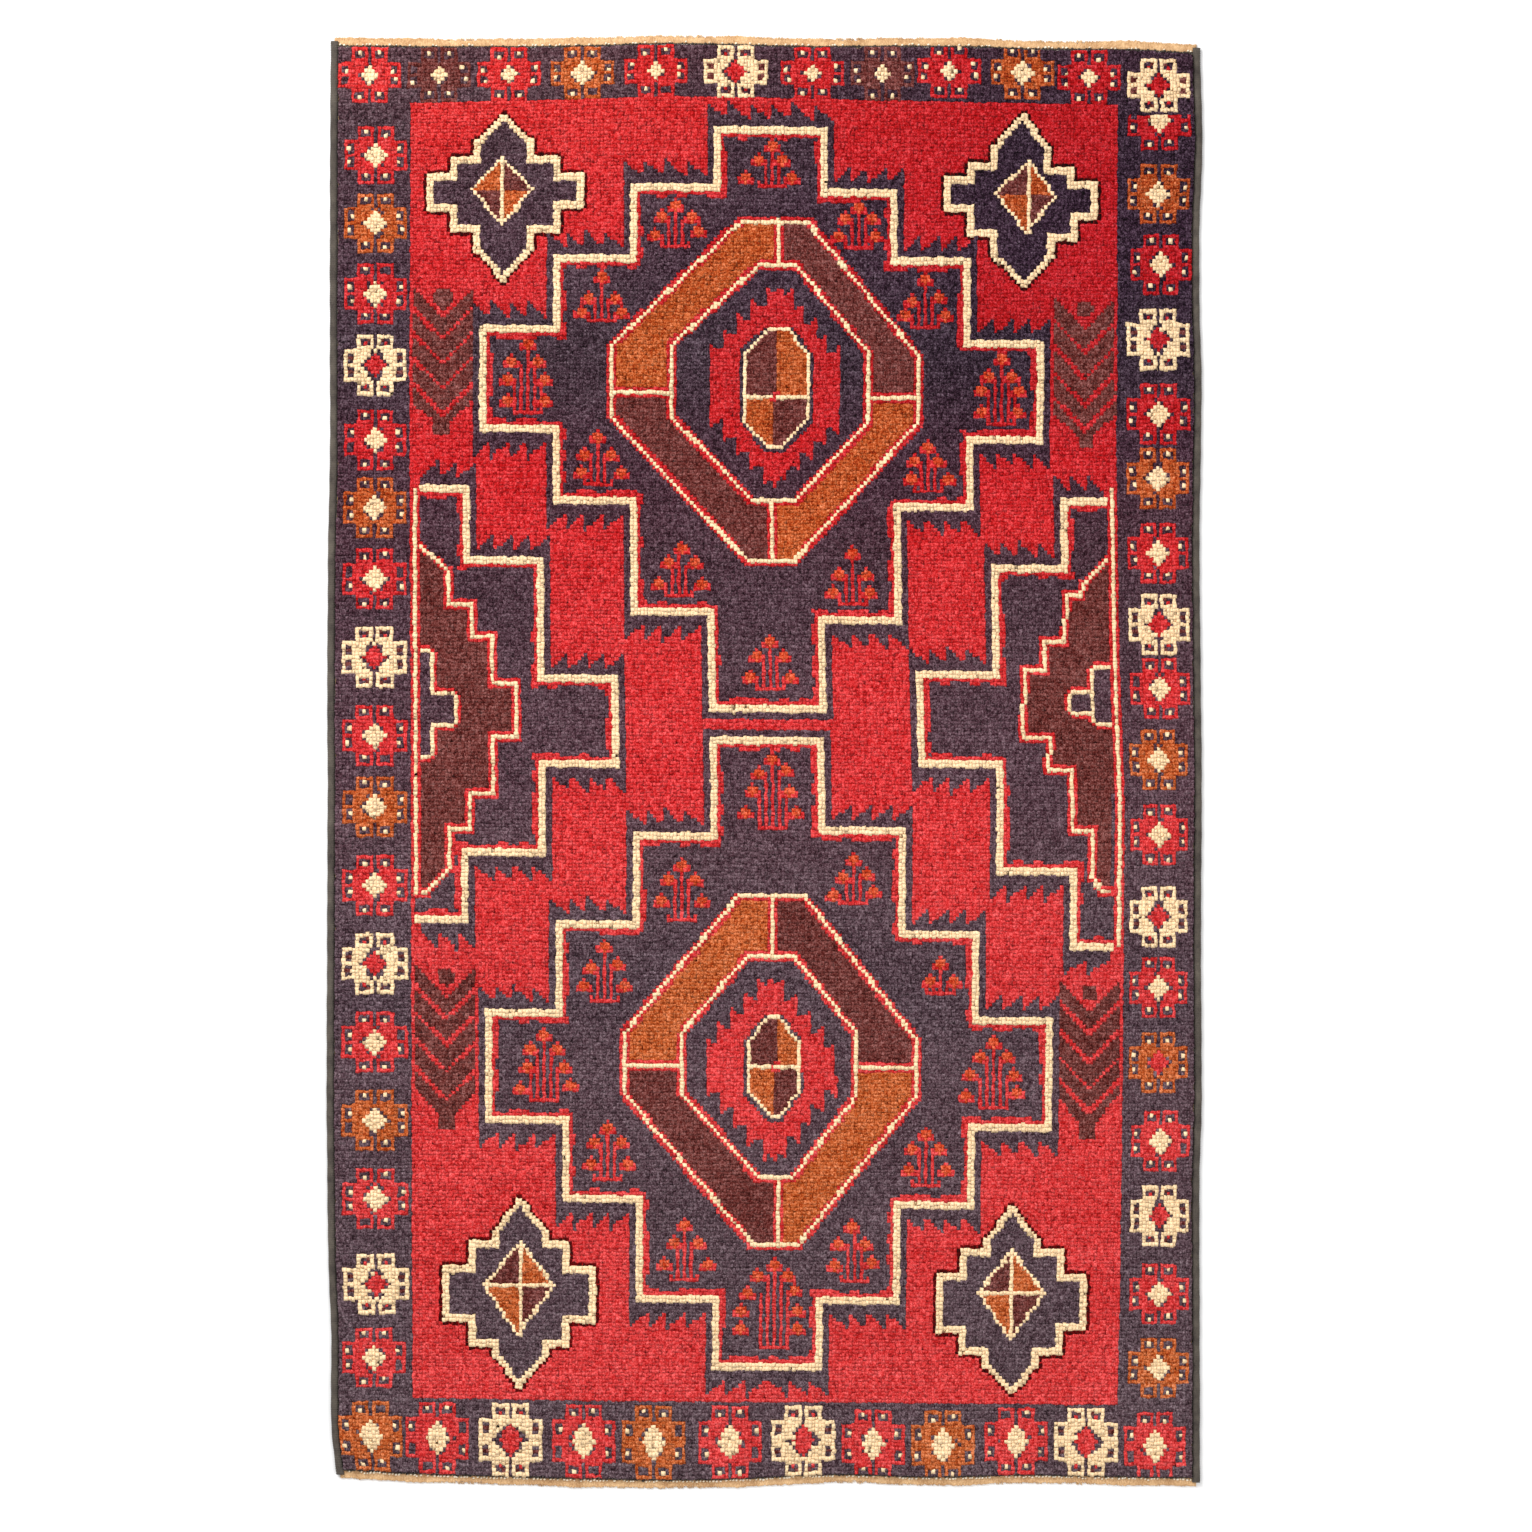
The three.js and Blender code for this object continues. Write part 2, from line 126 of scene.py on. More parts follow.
@dataclass(frozen=True)
class Lay:
    """How the cloth strays from its square chart, as hand weaving does.

    Each profile lists (place along it, stray), in knots across or rows along.
    """

    loom: Loom
    margin: int = 8
    left_edge: Profile = ((4, 0.6), (26, 0.4), (71, 0.3), (116, 0.4), (139, -0.2), (184, -0.5),
                          (206, -0.3), (296, -0.7), (341, -0.2), (363, 0.8), (384, 0.6), (394, 0.8),
                          (402, 2.6))
    left_field: Profile = ((20, 0.2), (100, -0.2), (200, 0.2), (370, 0.7))
    right_field: Profile = ((20, -0.3), (95, -0.4), (110, -0.8), (175, 0.4), (210, 1.9),
                            (290, 1.2), (340, 0.6), (380, -0.3))
    right_edge: Profile = ((4, -0.9), (26, -0.1), (49, -1.2), (71, -1.2), (94, -0.4), (139, -1.2),
                           (206, -0.4), (251, -0.7), (296, -0.4), (318, -1.2), (386, -1.0))
    far_end: Profile = ((3, 0.3), (27, 0.6), (74, 0.4), (98, -0.5), (122, 0.0), (140, 0.6),
                        (165, 0.3), (194, 0.5), (206, 1.2), (242, 1.3), (254, 2.3))
    far_field: Profile = ((22, 1.0), (70, 0.0), (100, -0.9), (130, -0.5), (165, 0.3), (200, 1.0),
                          (230, 1.5))
    middle: Profile = ((22, -0.9), (233, 0.9))
    near_field: Profile = ((22, -1.5), (90, -0.5), (150, -0.2), (233, 0.5))
    near_end: Profile = ((3, -1.6), (15, -0.7), (39, 0.1), (62, 0.7), (98, 1.5), (122, 1.0),
                         (146, -0.3), (158, -0.1), (176, 0.7), (206, -0.1), (250, 0.7))

    @staticmethod
    def _eased(profile: Profile, at: np.ndarray, ease: float) -> np.ndarray:
        """The profile's stray at each place, with its corners rounded off.

        Args:
            profile: (place, stray) pairs in order of place.
            at: the places asked for.
            ease: how far to each side a corner is rounded.

        Returns:
            One stray for each place.
        """
        place, stray = np.array(profile).T
        shifts = np.linspace(-ease, ease, 7)
        return np.mean([np.interp(at + s, place, stray) for s in shifts], axis=0)

    def grids(self) -> tuple[np.ndarray, np.ndarray]:
        """Strays across and along at every corner of the chart, margin included."""
        m, loom = self.margin, self.loom
        i = np.arange(-m, loom.knots + m + 1, dtype=float)
        j = np.arange(-m, loom.rows + m + 1, dtype=float)
        sides = (self.left_edge, self.left_field, self.right_field, self.right_edge)
        bars = (self.far_end, self.far_field, self.middle, self.middle, self.near_field, self.near_end)
        across = np.stack([self._eased(p, j, 6) for p in sides])
        along = np.stack([self._eased(p, i, 8) for p in bars])
        stations_i = np.array([0, 22, 234, loom.knots], float)
        stations_j = np.array([0, 15, 52, 345, 381, loom.rows], float)
        di = np.stack([np.interp(i, stations_i, across[:, k]) for k in range(len(j))])
        dj = np.stack([np.interp(j, stations_j, along[:, k]) for k in range(len(i))], axis=1)
        return di, dj


def between_corners(grid: np.ndarray, i: np.ndarray, j: np.ndarray) -> np.ndarray:
    """Values of a corner grid at any places, read straight between its corners.

    Args:
        grid: values at whole numbers, rows first.
        i: places across, in steps of the grid.
        j: places along, in steps of the grid.

    Returns:
        One value for each place.
    """
    i = np.clip(i, 0, grid.shape[1] - 1.001)
    j = np.clip(j, 0, grid.shape[0] - 1.001)
    a, b = i.astype(int), j.astype(int)
    u, v = i - a, j - b
    far = grid[b, a] * (1 - u) + grid[b, a + 1] * u
    near = grid[b + 1, a] * (1 - u) + grid[b + 1, a + 1] * u
    return far * (1 - v) + near * v


class Cloth:
    """The woven cloth: turns chart places into places on the floor, and back."""

    def __init__(self, loom: Loom, lay: Lay, seed: int) -> None:
        """Args:
        loom: the knot grid.
        lay: how the cloth strays from it.
        seed: start of the random draws.
        """
        self.loom, self.margin = loom, lay.margin
        self.di, self.dj = lay.grids()
        rng = np.random.default_rng(seed)
        self.sway_i = rng.normal(0, 0.13, self.di.shape)
        self.sway_j = rng.normal(0, 0.12, self.di.shape)
        self.tone = rng.random((loom.rows, loom.knots))
        self.rise = rng.normal(0, 1, (loom.rows, loom.knots))
        self.lean_i = rng.normal(0, 1, (loom.rows, loom.knots))
        self.lean_j = rng.normal(0, 1, (loom.rows, loom.knots))

    def _stray(self, grid: np.ndarray, i: np.ndarray, j: np.ndarray) -> np.ndarray:
        """A stray grid's values at chart places."""
        return between_corners(grid, np.asarray(i) + self.margin, np.asarray(j) + self.margin)

    def seen(self, i: np.ndarray, j: np.ndarray) -> tuple[np.ndarray, np.ndarray]:
        """Where chart places come to lie, still counted in knots and rows."""
        return i + self._stray(self.di, i, j), j + self._stray(self.dj, i, j)

    def charted(self, i: float, j: float) -> Point:
        """The chart place that comes to lie at (i, j)."""
        a, b = np.array([i], float), np.array([j], float)
        for _ in range(3):
            at, along = self.seen(a, b)
            a, b = a + i - at, b + j - along
        return float(a[0]), float(b[0])

    def floor(self, i: np.ndarray, j: np.ndarray, sway: bool = True) -> tuple[np.ndarray, np.ndarray]:
        """Places on the floor, in metres, of chart places.

        Args:
            i: knot numbers.
            j: row numbers.
            sway: whether each knot also pushes its neighbours about.

        Returns:
            Places across and along.
        """
        at, along = self.seen(i, j)
        if sway:
            at = at + self._stray(self.sway_i, i, j)
            along = along + self._stray(self.sway_j, i, j)
        return self.loom.across(at), self.loom.along(along)


# ---- the chart --------------------------------------------------------------


@dataclass(frozen=True)
class Ring:
    """The ring of one medallion: two eight-sided lines, four panels and an octagon."""

    outer: Profile
    inner: Profile
    far: float
    near: float
    left: float
    right: float
    octagon: Profile
    crossbar: float
    split_far: float
    split_near: float


RINGS = (
    Ring(
        outer=((121, 49), (141, 49), (174, 87), (174, 106), (137, 145), (123, 145), (82.5, 104), (82.5, 84)),
        inner=((126.5, 61.5), (137.5, 61.5), (159, 86), (159, 106), (137, 128), (124.5, 128), (100, 104),
               (100, 84)),
        far=132, near=130.5, left=97.5, right=99,
        octagon=((129, 80), (135, 80), (141, 86.5), (141, 105), (133.5, 113), (129, 113), (122, 105),
                 (122, 86)),
        crossbar=98.2, split_far=132.2, split_near=131,
    ),
    Ring(
        outer=((120.5, 239), (140, 239), (173.5, 279), (173.5, 295), (138, 337), (124.5, 337), (86, 294),
               (86, 277)),
        inner=((123, 255.5), (137, 255.5), (155, 277), (155, 295), (136.5, 318), (126.5, 318),
               (103.5, 294), (103.5, 277)),
        far=130.5, near=131.8, left=286, right=287,
        octagon=((129, 273), (132.5, 273), (138, 280), (138, 293.5), (132.5, 300.5), (130, 300.5),
                 (123, 293.5), (123, 280)),
        crossbar=286.2, split_far=131, split_near=130.5,
    ),
)


Flight = tuple[Point, Point]


@dataclass(frozen=True)
class Lozenge:
    """The red lozenge in a ring; each quarter is a flight of spikes, told by its outer and inner tips."""

    name: str
    far_left: Flight
    far_right: Flight
    near_right: Flight
    near_left: Flight
    spikes: int = 5

    def _flight(self, flight: Flight, way: int) -> list[Point]:
        """The corners of one quarter, from its outer tip to its inner tip.

        Args:
            flight: the outer tip and the inner tip.
            way: +1 if the notches lie on the near side of the tips, -1 if on the far side.

        Returns:
            The corners.
        """
        (i0, j0), (i1, j1) = flight
        gaps = self.spikes - 1
        wide, long = (i1 - i0) / gaps, (j1 - j0) / gaps
        corners = []
        for k in range(self.spikes):
            tip = (i0 + k * wide, j0 + k * long)
            corners.append(tip)
            if k < gaps:
                corners += [(tip[0] + 0.35 * wide, tip[1] + 1.7 * way), (tip[0] + wide, tip[1] + 2.4 * way)]
        return corners

    def outline(self) -> list[Point]:
        """The whole outline, clockwise from the far left, with a small spike over each middle."""
        far, near = [], []
        for notches, left, right, way in ((far, self.far_left, self.far_right, 1),
                                          (near, self.near_right, self.near_left, -1)):
            (a, b), (c, d) = left[1], right[1]
            notches.extend([(a + (c - a) * 0.3, b + 2.6 * way), ((a + c) / 2, (b + d) / 2 + 0.3 * way),
                            (a + (c - a) * 0.7, d + 2.6 * way)])
        return (self._flight(self.far_left, 1) + far + self._flight(self.far_right, 1)[::-1]
                + self._flight(self.near_right, -1) + near + self._flight(self.near_left, -1)[::-1])


LOZENGES = (
    Lozenge("far_medallion", ((111.4, 82.7), (128.3, 66.7)), ((150.4, 84.0), (136.8, 67.2)),
            ((150.3, 109.4), (135.1, 123.6)), ((111.4, 107.7), (127.2, 124.4))),
    Lozenge("near_medallion", ((110.3, 278.0), (125.9, 261.1)), ((149.4, 279.3), (134.4, 261.1)),
            ((149.4, 295.4), (135.1, 312.9)), ((110.5, 295.7), (127.3, 313.6))),
)


@dataclass(frozen=True)
class StepLine:
    """A stepped cream line, told clockwise as levels and walls by turns.

    Level k runs from wall k - 1 to wall k. Saw teeth stand on the levels and lean away from
    the middle; a level over the middle has its own (teeth, teeth that lean left).
    """

    name: str
    levels: tuple[float, ...]
    walls: tuple[float, ...]
    middle: float
    far_teeth: tuple[int, int] = (0, 0)
    near_teeth: tuple[int, int] = (0, 0)
    open_wall: int = -1


STEP_LINES = (
    StepLine("far_medallion",
             (23.6, 41.0, 60.6, 83.2, 111.1, 129.9, 161.0, 185.8, 159.0, 127.9, 107.0, 79.8, 59.3, 39.9),
             (145.7, 167.2, 189.0, 210.9, 189.4, 167.5, 145.0, 112.7, 88.8, 65.8, 43.8, 66.0, 89.3, 113.7),
             129, far_teeth=(6, 6)),
    StepLine("near_medallion",
             (194.8, 220.3, 249.8, 273.5, 303.8, 325.3, 352.5, 370.8, 352.2, 323.5, 301.2, 270.9, 246.3,
              222.0),
             (145.5, 169.0, 191.7, 212.7, 189.5, 167.6, 144.7, 113.5, 90.8, 68.2, 45.7, 67.0, 89.5, 113.0),
             129, near_teeth=(6, 3)),
    StepLine("left_half", (124.3, 144.6, 177.8, 201.8, 226.4, 245.2),
             (39.2, 60.6, 83.1, 61.2, 38.7, 22.0), 22, open_wall=5),
    StepLine("right_half", (127.8, 252.6, 231.7, 201.8, 176.8, 147.0),
             (234.0, 220.2, 198.2, 174.4, 197.4, 217.6), 234, open_wall=0),
)


@dataclass(frozen=True)
class Sprig:
    """A flowering sprig: a top bud, pairs of buds below it, and a foot that joins the stems."""

    middle: float
    top: float
    pairs: tuple[tuple[float, float, float], ...]
    foot: float


SPRIGS = (
    Sprig(130, 28.7, ((126.2, 133.4, 32.5), (122.7, 136, 37)), 39.5),
    Sprig(101.7, 45, ((97.5, 105.9, 48.6), (95.7, 107.9, 52.8)), 56),
    Sprig(156.2, 46, ((152.3, 159.8, 49), (150.5, 161.3, 54)), 57.2),
    Sprig(79, 65.5, ((75, 83, 71), (73, 85, 75)), 77.5),
    Sprig(176.5, 66.4, ((172.7, 180.4, 71.4), (170.1, 182, 76)), 78.9),
    Sprig(57.1, 84, ((52.8, 60.5, 89), (51, 62, 94), (51.3, 62.3, 100)), 103),
    Sprig(198.8, 88.3, ((194.8, 202.5, 92.8), (193, 204, 97.4), (192.6, 204.3, 103.5)), 106.6),
    Sprig(78.6, 110, ((74.6, 82.6, 115.3), (73.1, 84.8, 120.5)), 123),
    Sprig(177, 113, ((173.3, 180.4, 117.3), (171.8, 182.8, 121.9)), 125.4),
    Sprig(103, 141, ((99.3, 107, 145.7), (96.9, 109.2, 151.2)), 154.5),
    Sprig(154.5, 143, ((150.3, 158, 148.3), (148.5, 159.9, 153.5)), 156.6),
    Sprig(129.8, 167.4, ((126.1, 133.7, 171.7), (124.2, 135.9, 177.5)), 180.7),
    Sprig(130.2, 200.3, ((126.4, 134, 204), (124.5, 135.9, 209.5), (122.7, 138, 215.8)), 219.3),
    Sprig(103.2, 229.8, ((99, 107.3, 234.5), (96.9, 109.5, 240.3)), 245),
    Sprig(154.9, 228.5, ((151.3, 158.6, 233.2), (148.8, 161, 238.2)), 241),
    Sprig(80.5, 253, ((76.6, 84.3, 258.6), (74.6, 86.2, 264.3)), 267.7),
    Sprig(181, 258, ((177.4, 184.8, 262.9),), 266),
    Sprig(62.2, 277.8, ((58.5, 66.4, 281.8), (56.6, 68.2, 287), (55.1, 70, 292.4)), 295.8),
    Sprig(196.3, 280.4, ((192.4, 200.4, 284.5), (190, 202.1, 289.2), (188.6, 203.6, 294.6)), 298.5),
    Sprig(81.6, 304, ((77.6, 85.6, 308), (75.8, 87.1, 313.7)), 318.4),
    Sprig(176.5, 305.6, ((172.7, 180.2, 310), (170.9, 182.2, 315.7)), 320),
    Sprig(104.5, 331.5, ((100.7, 108.6, 336), (98.3, 110.8, 341.9)), 346.3),
    Sprig(154.6, 332, ((150.6, 158.6, 336.5), (149.1, 159.8, 342.2)), 346.9),
    Sprig(131.2, 343, ((126, 135.4, 345.3), (123.5, 137, 350), (121.4, 138.2, 355.3),
                       (121.4, 138.2, 360.3)), 365.5),
)


@dataclass(frozen=True)
class StarDiamond:
    """The beaded diamond inside a corner star: its corners and its four small fields."""

    far: Point
    left: Point
    near: Point
    right: Point
    fields: tuple[Yarn, Yarn, Yarn, Yarn]
    crossbar: bool


GOLD_FIRST = (Yarn.GOLD, Yarn.BROWN, Yarn.BROWN, Yarn.GOLD)
BROWN_FIRST = (Yarn.BROWN, Yarn.GOLD, Yarn.GOLD, Yarn.BROWN)
STAR_DIAMONDS = (
    StarDiamond((49.5, 31), (41, 40), (49.5, 50), (58.5, 40), GOLD_FIRST, False),
    StarDiamond((207.5, 32.6), (197.4, 41.7), (206.5, 52), (215.3, 42.6), BROWN_FIRST, False),
    StarDiamond((55.1, 336.2), (44.5, 347.9), (54.4, 361.3), (65.3, 347.9), BROWN_FIRST, True),
    StarDiamond((202.3, 338.6), (192.1, 350.2), (202.1, 363), (211.9, 350), BROWN_FIRST, True),
)


@dataclass(frozen=True)
class Star:
    """A corner star's stepped outline, told by the middles of its lines.

    Columns run from the left arm's end to the right arm's end, with the tips' column in the
    middle; rows run from the far tip to the near tip. Tilt is in rows for each knot across.
    """

    name: str
    columns: tuple[float, float, float, float, float, float, float]
    rows: tuple[float, float, float, float, float, float, float, float]
    tilt: float = 0.0

    def _side(self, neck: float, wall: float, arm: float) -> Profile:
        """The ten corners of one side, from far to near.

        Args:
            neck: the column beside the tips.
            wall: the column of the star's straight side.
            arm: the column of the side arm's end.

        Returns:
            The corners.
        """
        _, far_neck, far_level, far_arm, near_arm, near_level, near_neck, _ = self.rows
        inner = self.tilt * ((neck + wall) / 2 - self.columns[3])
        outer = self.tilt * ((wall + arm) / 2 - self.columns[3])
        return ((neck, far_neck), (neck, far_level + inner), (wall, far_level + inner),
                (wall, far_arm + outer), (arm, far_arm + outer), (arm, near_arm + outer),
                (wall, near_arm + outer),
                (wall, near_level + inner), (neck, near_level + inner), (neck, near_neck))

    def outline(self) -> Profile:
        """The outline's corners, clockwise from its far tip."""
        arm_left, wall_left, neck_left, tip, neck_right, wall_right, arm_right = self.columns
        return ((tip, self.rows[0]), *self._side(neck_right, wall_right, arm_right), (tip, self.rows[-1]),
                *reversed(self._side(neck_left, wall_left, arm_left)))


STARS = (
    Star("far_left_star", (27.6, 34.9, 42.0, 49.8, 57.8, 65.8, 73.2),
         (19.9, 27.4, 32.3, 36.8, 45.0, 51.3, 56.8, 65.4)),
    Star("far_right_star", (182.6, 190.1, 197.2, 205.5, 213.2, 220.2, 226.7),
         (20.0, 28.9, 34.5, 38.4, 46.9, 53.0, 58.7, 67.1), 0.05),
    Star("near_left_star", (33.0, 40.5, 47.6, 54.8, 62.3, 69.0, 76.5),
         (324.3, 333.1, 336.3, 343.2, 357.0, 364.1, 367.5, 375.7)),
    Star("near_right_star", (180.3, 187.5, 194.6, 202.0, 209.2, 216.1, 223.6),
         (326.5, 335.4, 338.7, 345.3, 360.0, 366.6, 370.1, 377.6)),
)


@dataclass(frozen=True)
class HalfFigure:
    """The stepped figure in a half medallion, the line it stands on, and its inner notch."""

    side: Side
    outline: Profile
    line: float
    line_far: float
    line_near: float
    blocks: tuple[tuple[float, float, float, float], ...]


HALF_FIGURES = (
    HalfFigure(
        Side.LEFT,
        ((23.4, 138.4), (33.8, 147.9), (33.8, 156.3), (40.2, 156.3), (40.2, 166), (46.7, 166), (46.7, 179.1),
         (53.5, 179.1), (53.5, 193.6), (47, 193.6), (47, 209.7), (40.2, 209.7), (40.2, 219.5), (33.5, 219.5),
         (33.5, 231), (27, 238), (23.4, 238)),
        23.4, 125, 238,
        ((23.4, 28.0, 170.6, 199.2), (28.0, 35.6, 181.7, 190.2)),
    ),
    HalfFigure(
        Side.RIGHT,
        ((231.6, 143.3), (223, 151.4), (223, 154.3), (218.2, 154.3), (218.2, 167.2), (211.9, 167.2),
         (211.9, 175.4), (206, 175.4), (206, 194.1), (213.2, 194.1), (213.2, 202.8), (220, 202.8),
         (220, 220), (226, 220), (226, 233), (229.5, 237.1), (231.6, 237.1)),
        231.6, 124, 252,
        ((226.2, 231.6, 174.8, 190.3), (219.9, 226.2, 181.6, 186.4)),
    ),
)


@dataclass(frozen=True)
class Tree:
    """A tree of nested chevrons: its middle, the rows where each chevron line turns, and its bud."""

    middle: float
    turns: tuple[float, ...]
    bud: float


TREES = (
    Tree(31.8, (75.9, 82.2, 89.1, 96.1, 103.5), 3.0),
    Tree(224, (78.9, 86.1, 93.4, 100.9, 107.8), 2.5),
    Tree(32.9, (266.3, 272.9, 280.3, 287.8, 295.8), 2.6),
    Tree(225.4, (270.8, 277.2, 285.2, 292.7, 299.3), 2.4),
)

FAR_ROSETTES = ((10, 8), (31, 8.5), (52, 8), (73.5, 7.5), (96, 7), (119.5, 7), (142, 8), (163, 7.5),
                (183.5, 7.5), (205, 8), (225, 9))
NEAR_ROSETTES = ((10, 390.5), (30.5, 391), (52.5, 391), (73.5, 391.5), (94.5, 391.5), (117.5, 392),
                 (139.5, 391.5), (160.5, 392), (181.5, 392.5), (203.5, 392), (224, 392), (245, 393))
LEFT_COLUMN = 11.6
LEFT_ROWS = (30.5, 50, 70, 90, 111, 130, 150, 172, 193.5, 214, 236, 258, 280, 301.5, 323.5, 347.5, 368.5)
RIGHT_COLUMN = 246.2
RIGHT_ROWS = (20.5, 41.5, 61, 82.5, 103, 121.5, 142, 162, 180.5, 200, 221.5, 244, 264.5, 285.5, 307,
              328.5, 350, 371.5)
RED_HEARTED_ROW = 285.5
CORNER_ROSETTE = (246.3, 10.6)
FAR_YARNS = (Yarn.RED, Yarn.BROWN, Yarn.RED, Yarn.GOLD, Yarn.RED, Yarn.CREAM)
SIDE_YARNS = (Yarn.RED, Yarn.GOLD, Yarn.RED, Yarn.CREAM)
NEAR_YARNS = (Yarn.GOLD, Yarn.RED, Yarn.CREAM, Yarn.RED)
SLIM_HEART, WIDE_HEART = (2.5, 2.6), (3.0, 3.0)
LEFT_HEART, RIGHT_HEART = (3.5, 3.8), (3.3, 3.7)
NEAR_HEART, CORNER_HEART = (3.7, 4.6), (3.2, 3.2)


class Chart:
    """The loom chart: one yarn and one motif for every knot."""

    FIELD = (22, 234, 15, 381)
    CORNER = (236, 257, 0, 18.5)
    BOX_ROWS = 4
    TOOTH_WIDE = 5.6
    FAR_TOOTH = (3.1, 8.0)
    NEAR_TOOTH = (3.8, 9.0)
    ARM_SLOPE = 0.97

    def __init__(self, cloth: Cloth) -> None:
        """Reads each knot's motif from the CAD pile that lies under it.

        Args:
            cloth: the cloth that the knots are tied on.
        """
        self.cloth, self.loom = cloth, cloth.loom
        self.rng = np.random.default_rng(SEED + 1)
        loom = self.loom
        self.i, self.j = np.meshgrid(np.arange(loom.knots) + 0.5, np.arange(loom.rows) + 0.5)
        slots = {s["node"]: s["material_slot"] for s in frame["record"]["subparts"]}
        self.nodes = sorted(n for n, s in slots.items() if s.endswith("_pile"))
        self.base = [Yarn[slots[n].removesuffix("_pile").upper()] for n in self.nodes]
        self.zone = self._zones()
        self.yarn = np.array(self.base, np.int8)[self.zone]
        # Painted shade for each knot, 0 for none; it lowers the knot's tone in the pile, which darkens it.
        self.shade = np.zeros(self.zone.shape)
        self.loose = np.zeros(self.zone.shape, bool)
        self._true_field_edge()

    def _zones(self) -> np.ndarray:
        """Number of the CAD pile node under each knot."""
        verts, faces, owner = [], [], []
        for number, name in enumerate(self.nodes):
            mesh = frame["nodes"][name].data
            start = len(verts)
            verts += [v.co.copy() for v in mesh.vertices]
            faces += [[start + k for k in p.vertices] for p in mesh.polygons]
            owner += [number] * len(mesh.polygons)
        tree = BVHTree.FromPolygons(verts, faces)
        x, y = self.cloth.floor(self.i, self.j, sway=False)
        top, down = self.loom.pile_high.z, Vector((0, 0, -1))
        found = np.zeros(self.i.shape, int)
        for at, (a, b) in enumerate(zip(x.ravel(), y.ravel())):
            hit = tree.ray_cast(Vector((a, b, top + 0.01)), down)[2]
            if hit is None:
                hit = tree.find_nearest(Vector((a, b, top)))[2]
            found.flat[at] = owner[hit]
        return found

    def _true_field_edge(self) -> None:
        """Brings the field's edge onto whole knots and rows."""
        left, right, far, near = self.FIELD
        inside = (self.i > left) & (self.i < right) & (self.j > far) & (self.j < near)
        border, ground = self.nodes.index("border_pile"), self.nodes.index("field_pile")
        self.put(inside & (self.zone == border), Yarn.RED, ground)
        self.put(~inside, Yarn.NAVY, border)

    def put(self, where: np.ndarray, yarn: Yarn, zone: int | None = None) -> None:
        """Ties the knots marked in where with one yarn, and moves them to a motif if it is given."""
        self.yarn[where] = yarn
        if zone is not None:
            self.zone[where] = zone

    def motif(self, ending: str) -> np.ndarray:
        """Marks the knots whose CAD node's name ends so."""
        wanted = [k for k, n in enumerate(self.nodes) if n.endswith(ending)]
        return np.isin(self.zone, wanted)

    # -- strokes ---------------------------------------------------------------

    def charted(self, points: Profile) -> list[Point]:
        """Chart places of points given as they lie on the floor."""
        return [self.cloth.charted(*p) for p in points]

    def box(self, i0: float, i1: float, j0: float, j1: float) -> np.ndarray:
        """Marks the knots whose middles lie in a box of the chart."""
        return (self.i > i0) & (self.i < i1) & (self.j > j0) & (self.j < j1)

    def inside(self, points: list[Point]) -> np.ndarray:
        """Marks the knots whose middles lie inside an outline.

        Args:
            points: the outline's corners in the chart.

        Returns:
            The marks.
        """
        odd = np.zeros(self.i.shape, bool)
        for (a, b), (c, d) in zip(points, points[1:] + points[:1]):
            if b == d:
                continue
            crosses = (self.j > min(b, d)) & (self.j <= max(b, d))
            odd ^= crosses & (self.i < a + (self.j - b) * (c - a) / (d - b))
        return odd

    def stroke(self, points: list[Point], half: float, closed: bool = False) -> np.ndarray:
        """Marks the knots along a line; its slanting stretches take one knot in every row.

        Args:
            points: the line's corners in the chart.
            half: half the width of its straight stretches, in knots.
            closed: whether it comes back to its start.

        Returns:
            The marks.
        """
        marks = np.zeros(self.i.shape, bool)
        ends = points[1:] + points[:1] if closed else points[1:]
        for (a, b), (c, d) in zip(points, ends):
            wide, long = abs(c - a), abs(d - b)
            near_it = self.box(min(a, c) - half, max(a, c) + half, min(b, d) - half, max(b, d) + half)
            if long >= wide:
                off = np.abs(self.i - a - (self.j - b) * (c - a) / (d - b)) if long else 0.0
            else:
                off = np.abs(self.j - b - (self.i - a) * (d - b) / (c - a))
            slant = min(wide, long) > 2
            marks |= near_it & (off <= (max(half, 0.5) if slant else half))
        return marks

    @staticmethod
    def snapped(points: list[Point]) -> list[Point]:
        """Moves a line onto the middles of knots, so that it is a whole knot wide."""
        return [(math.floor(i) + 0.5, math.floor(j) + 0.5) for i, j in points]

    def upright(self, start: Point, end: Point) -> list[Point]:
        """A line one knot wide, straight along the rug from one place to the row of another."""
        (i, far), (_, near) = self.snapped([start, end])
        return [(i, far), (i, near)]

    def squared(self, points: Profile, middle: float = 0.5) -> list[Point]:
        """Charts a closed line and brings its straight sides onto whole knots and rows.

        Args:
            points: the line's corners, as they lie.
            middle: 0.5 to run along the middles of knots, 0 to run between them.

        Returns:
            The corners in the chart.
        """
        made = self.charted(points)
        for k, (a, b) in enumerate(points):
            c, d = points[(k + 1) % len(points)]
            (i0, j0), (i1, j1) = made[k], made[(k + 1) % len(points)]
            if a == c:
                level = math.floor((i0 + i1) / 2 + 0.5 - middle) + middle
                made[k], made[(k + 1) % len(points)] = (level, j0), (level, j1)
            if b == d:
                level = math.floor((j0 + j1) / 2 + 0.5 - middle) + middle
                made[k], made[(k + 1) % len(points)] = (i0, level), (i1, level)
        return made

    # -- motifs ----------------------------------------------------------------

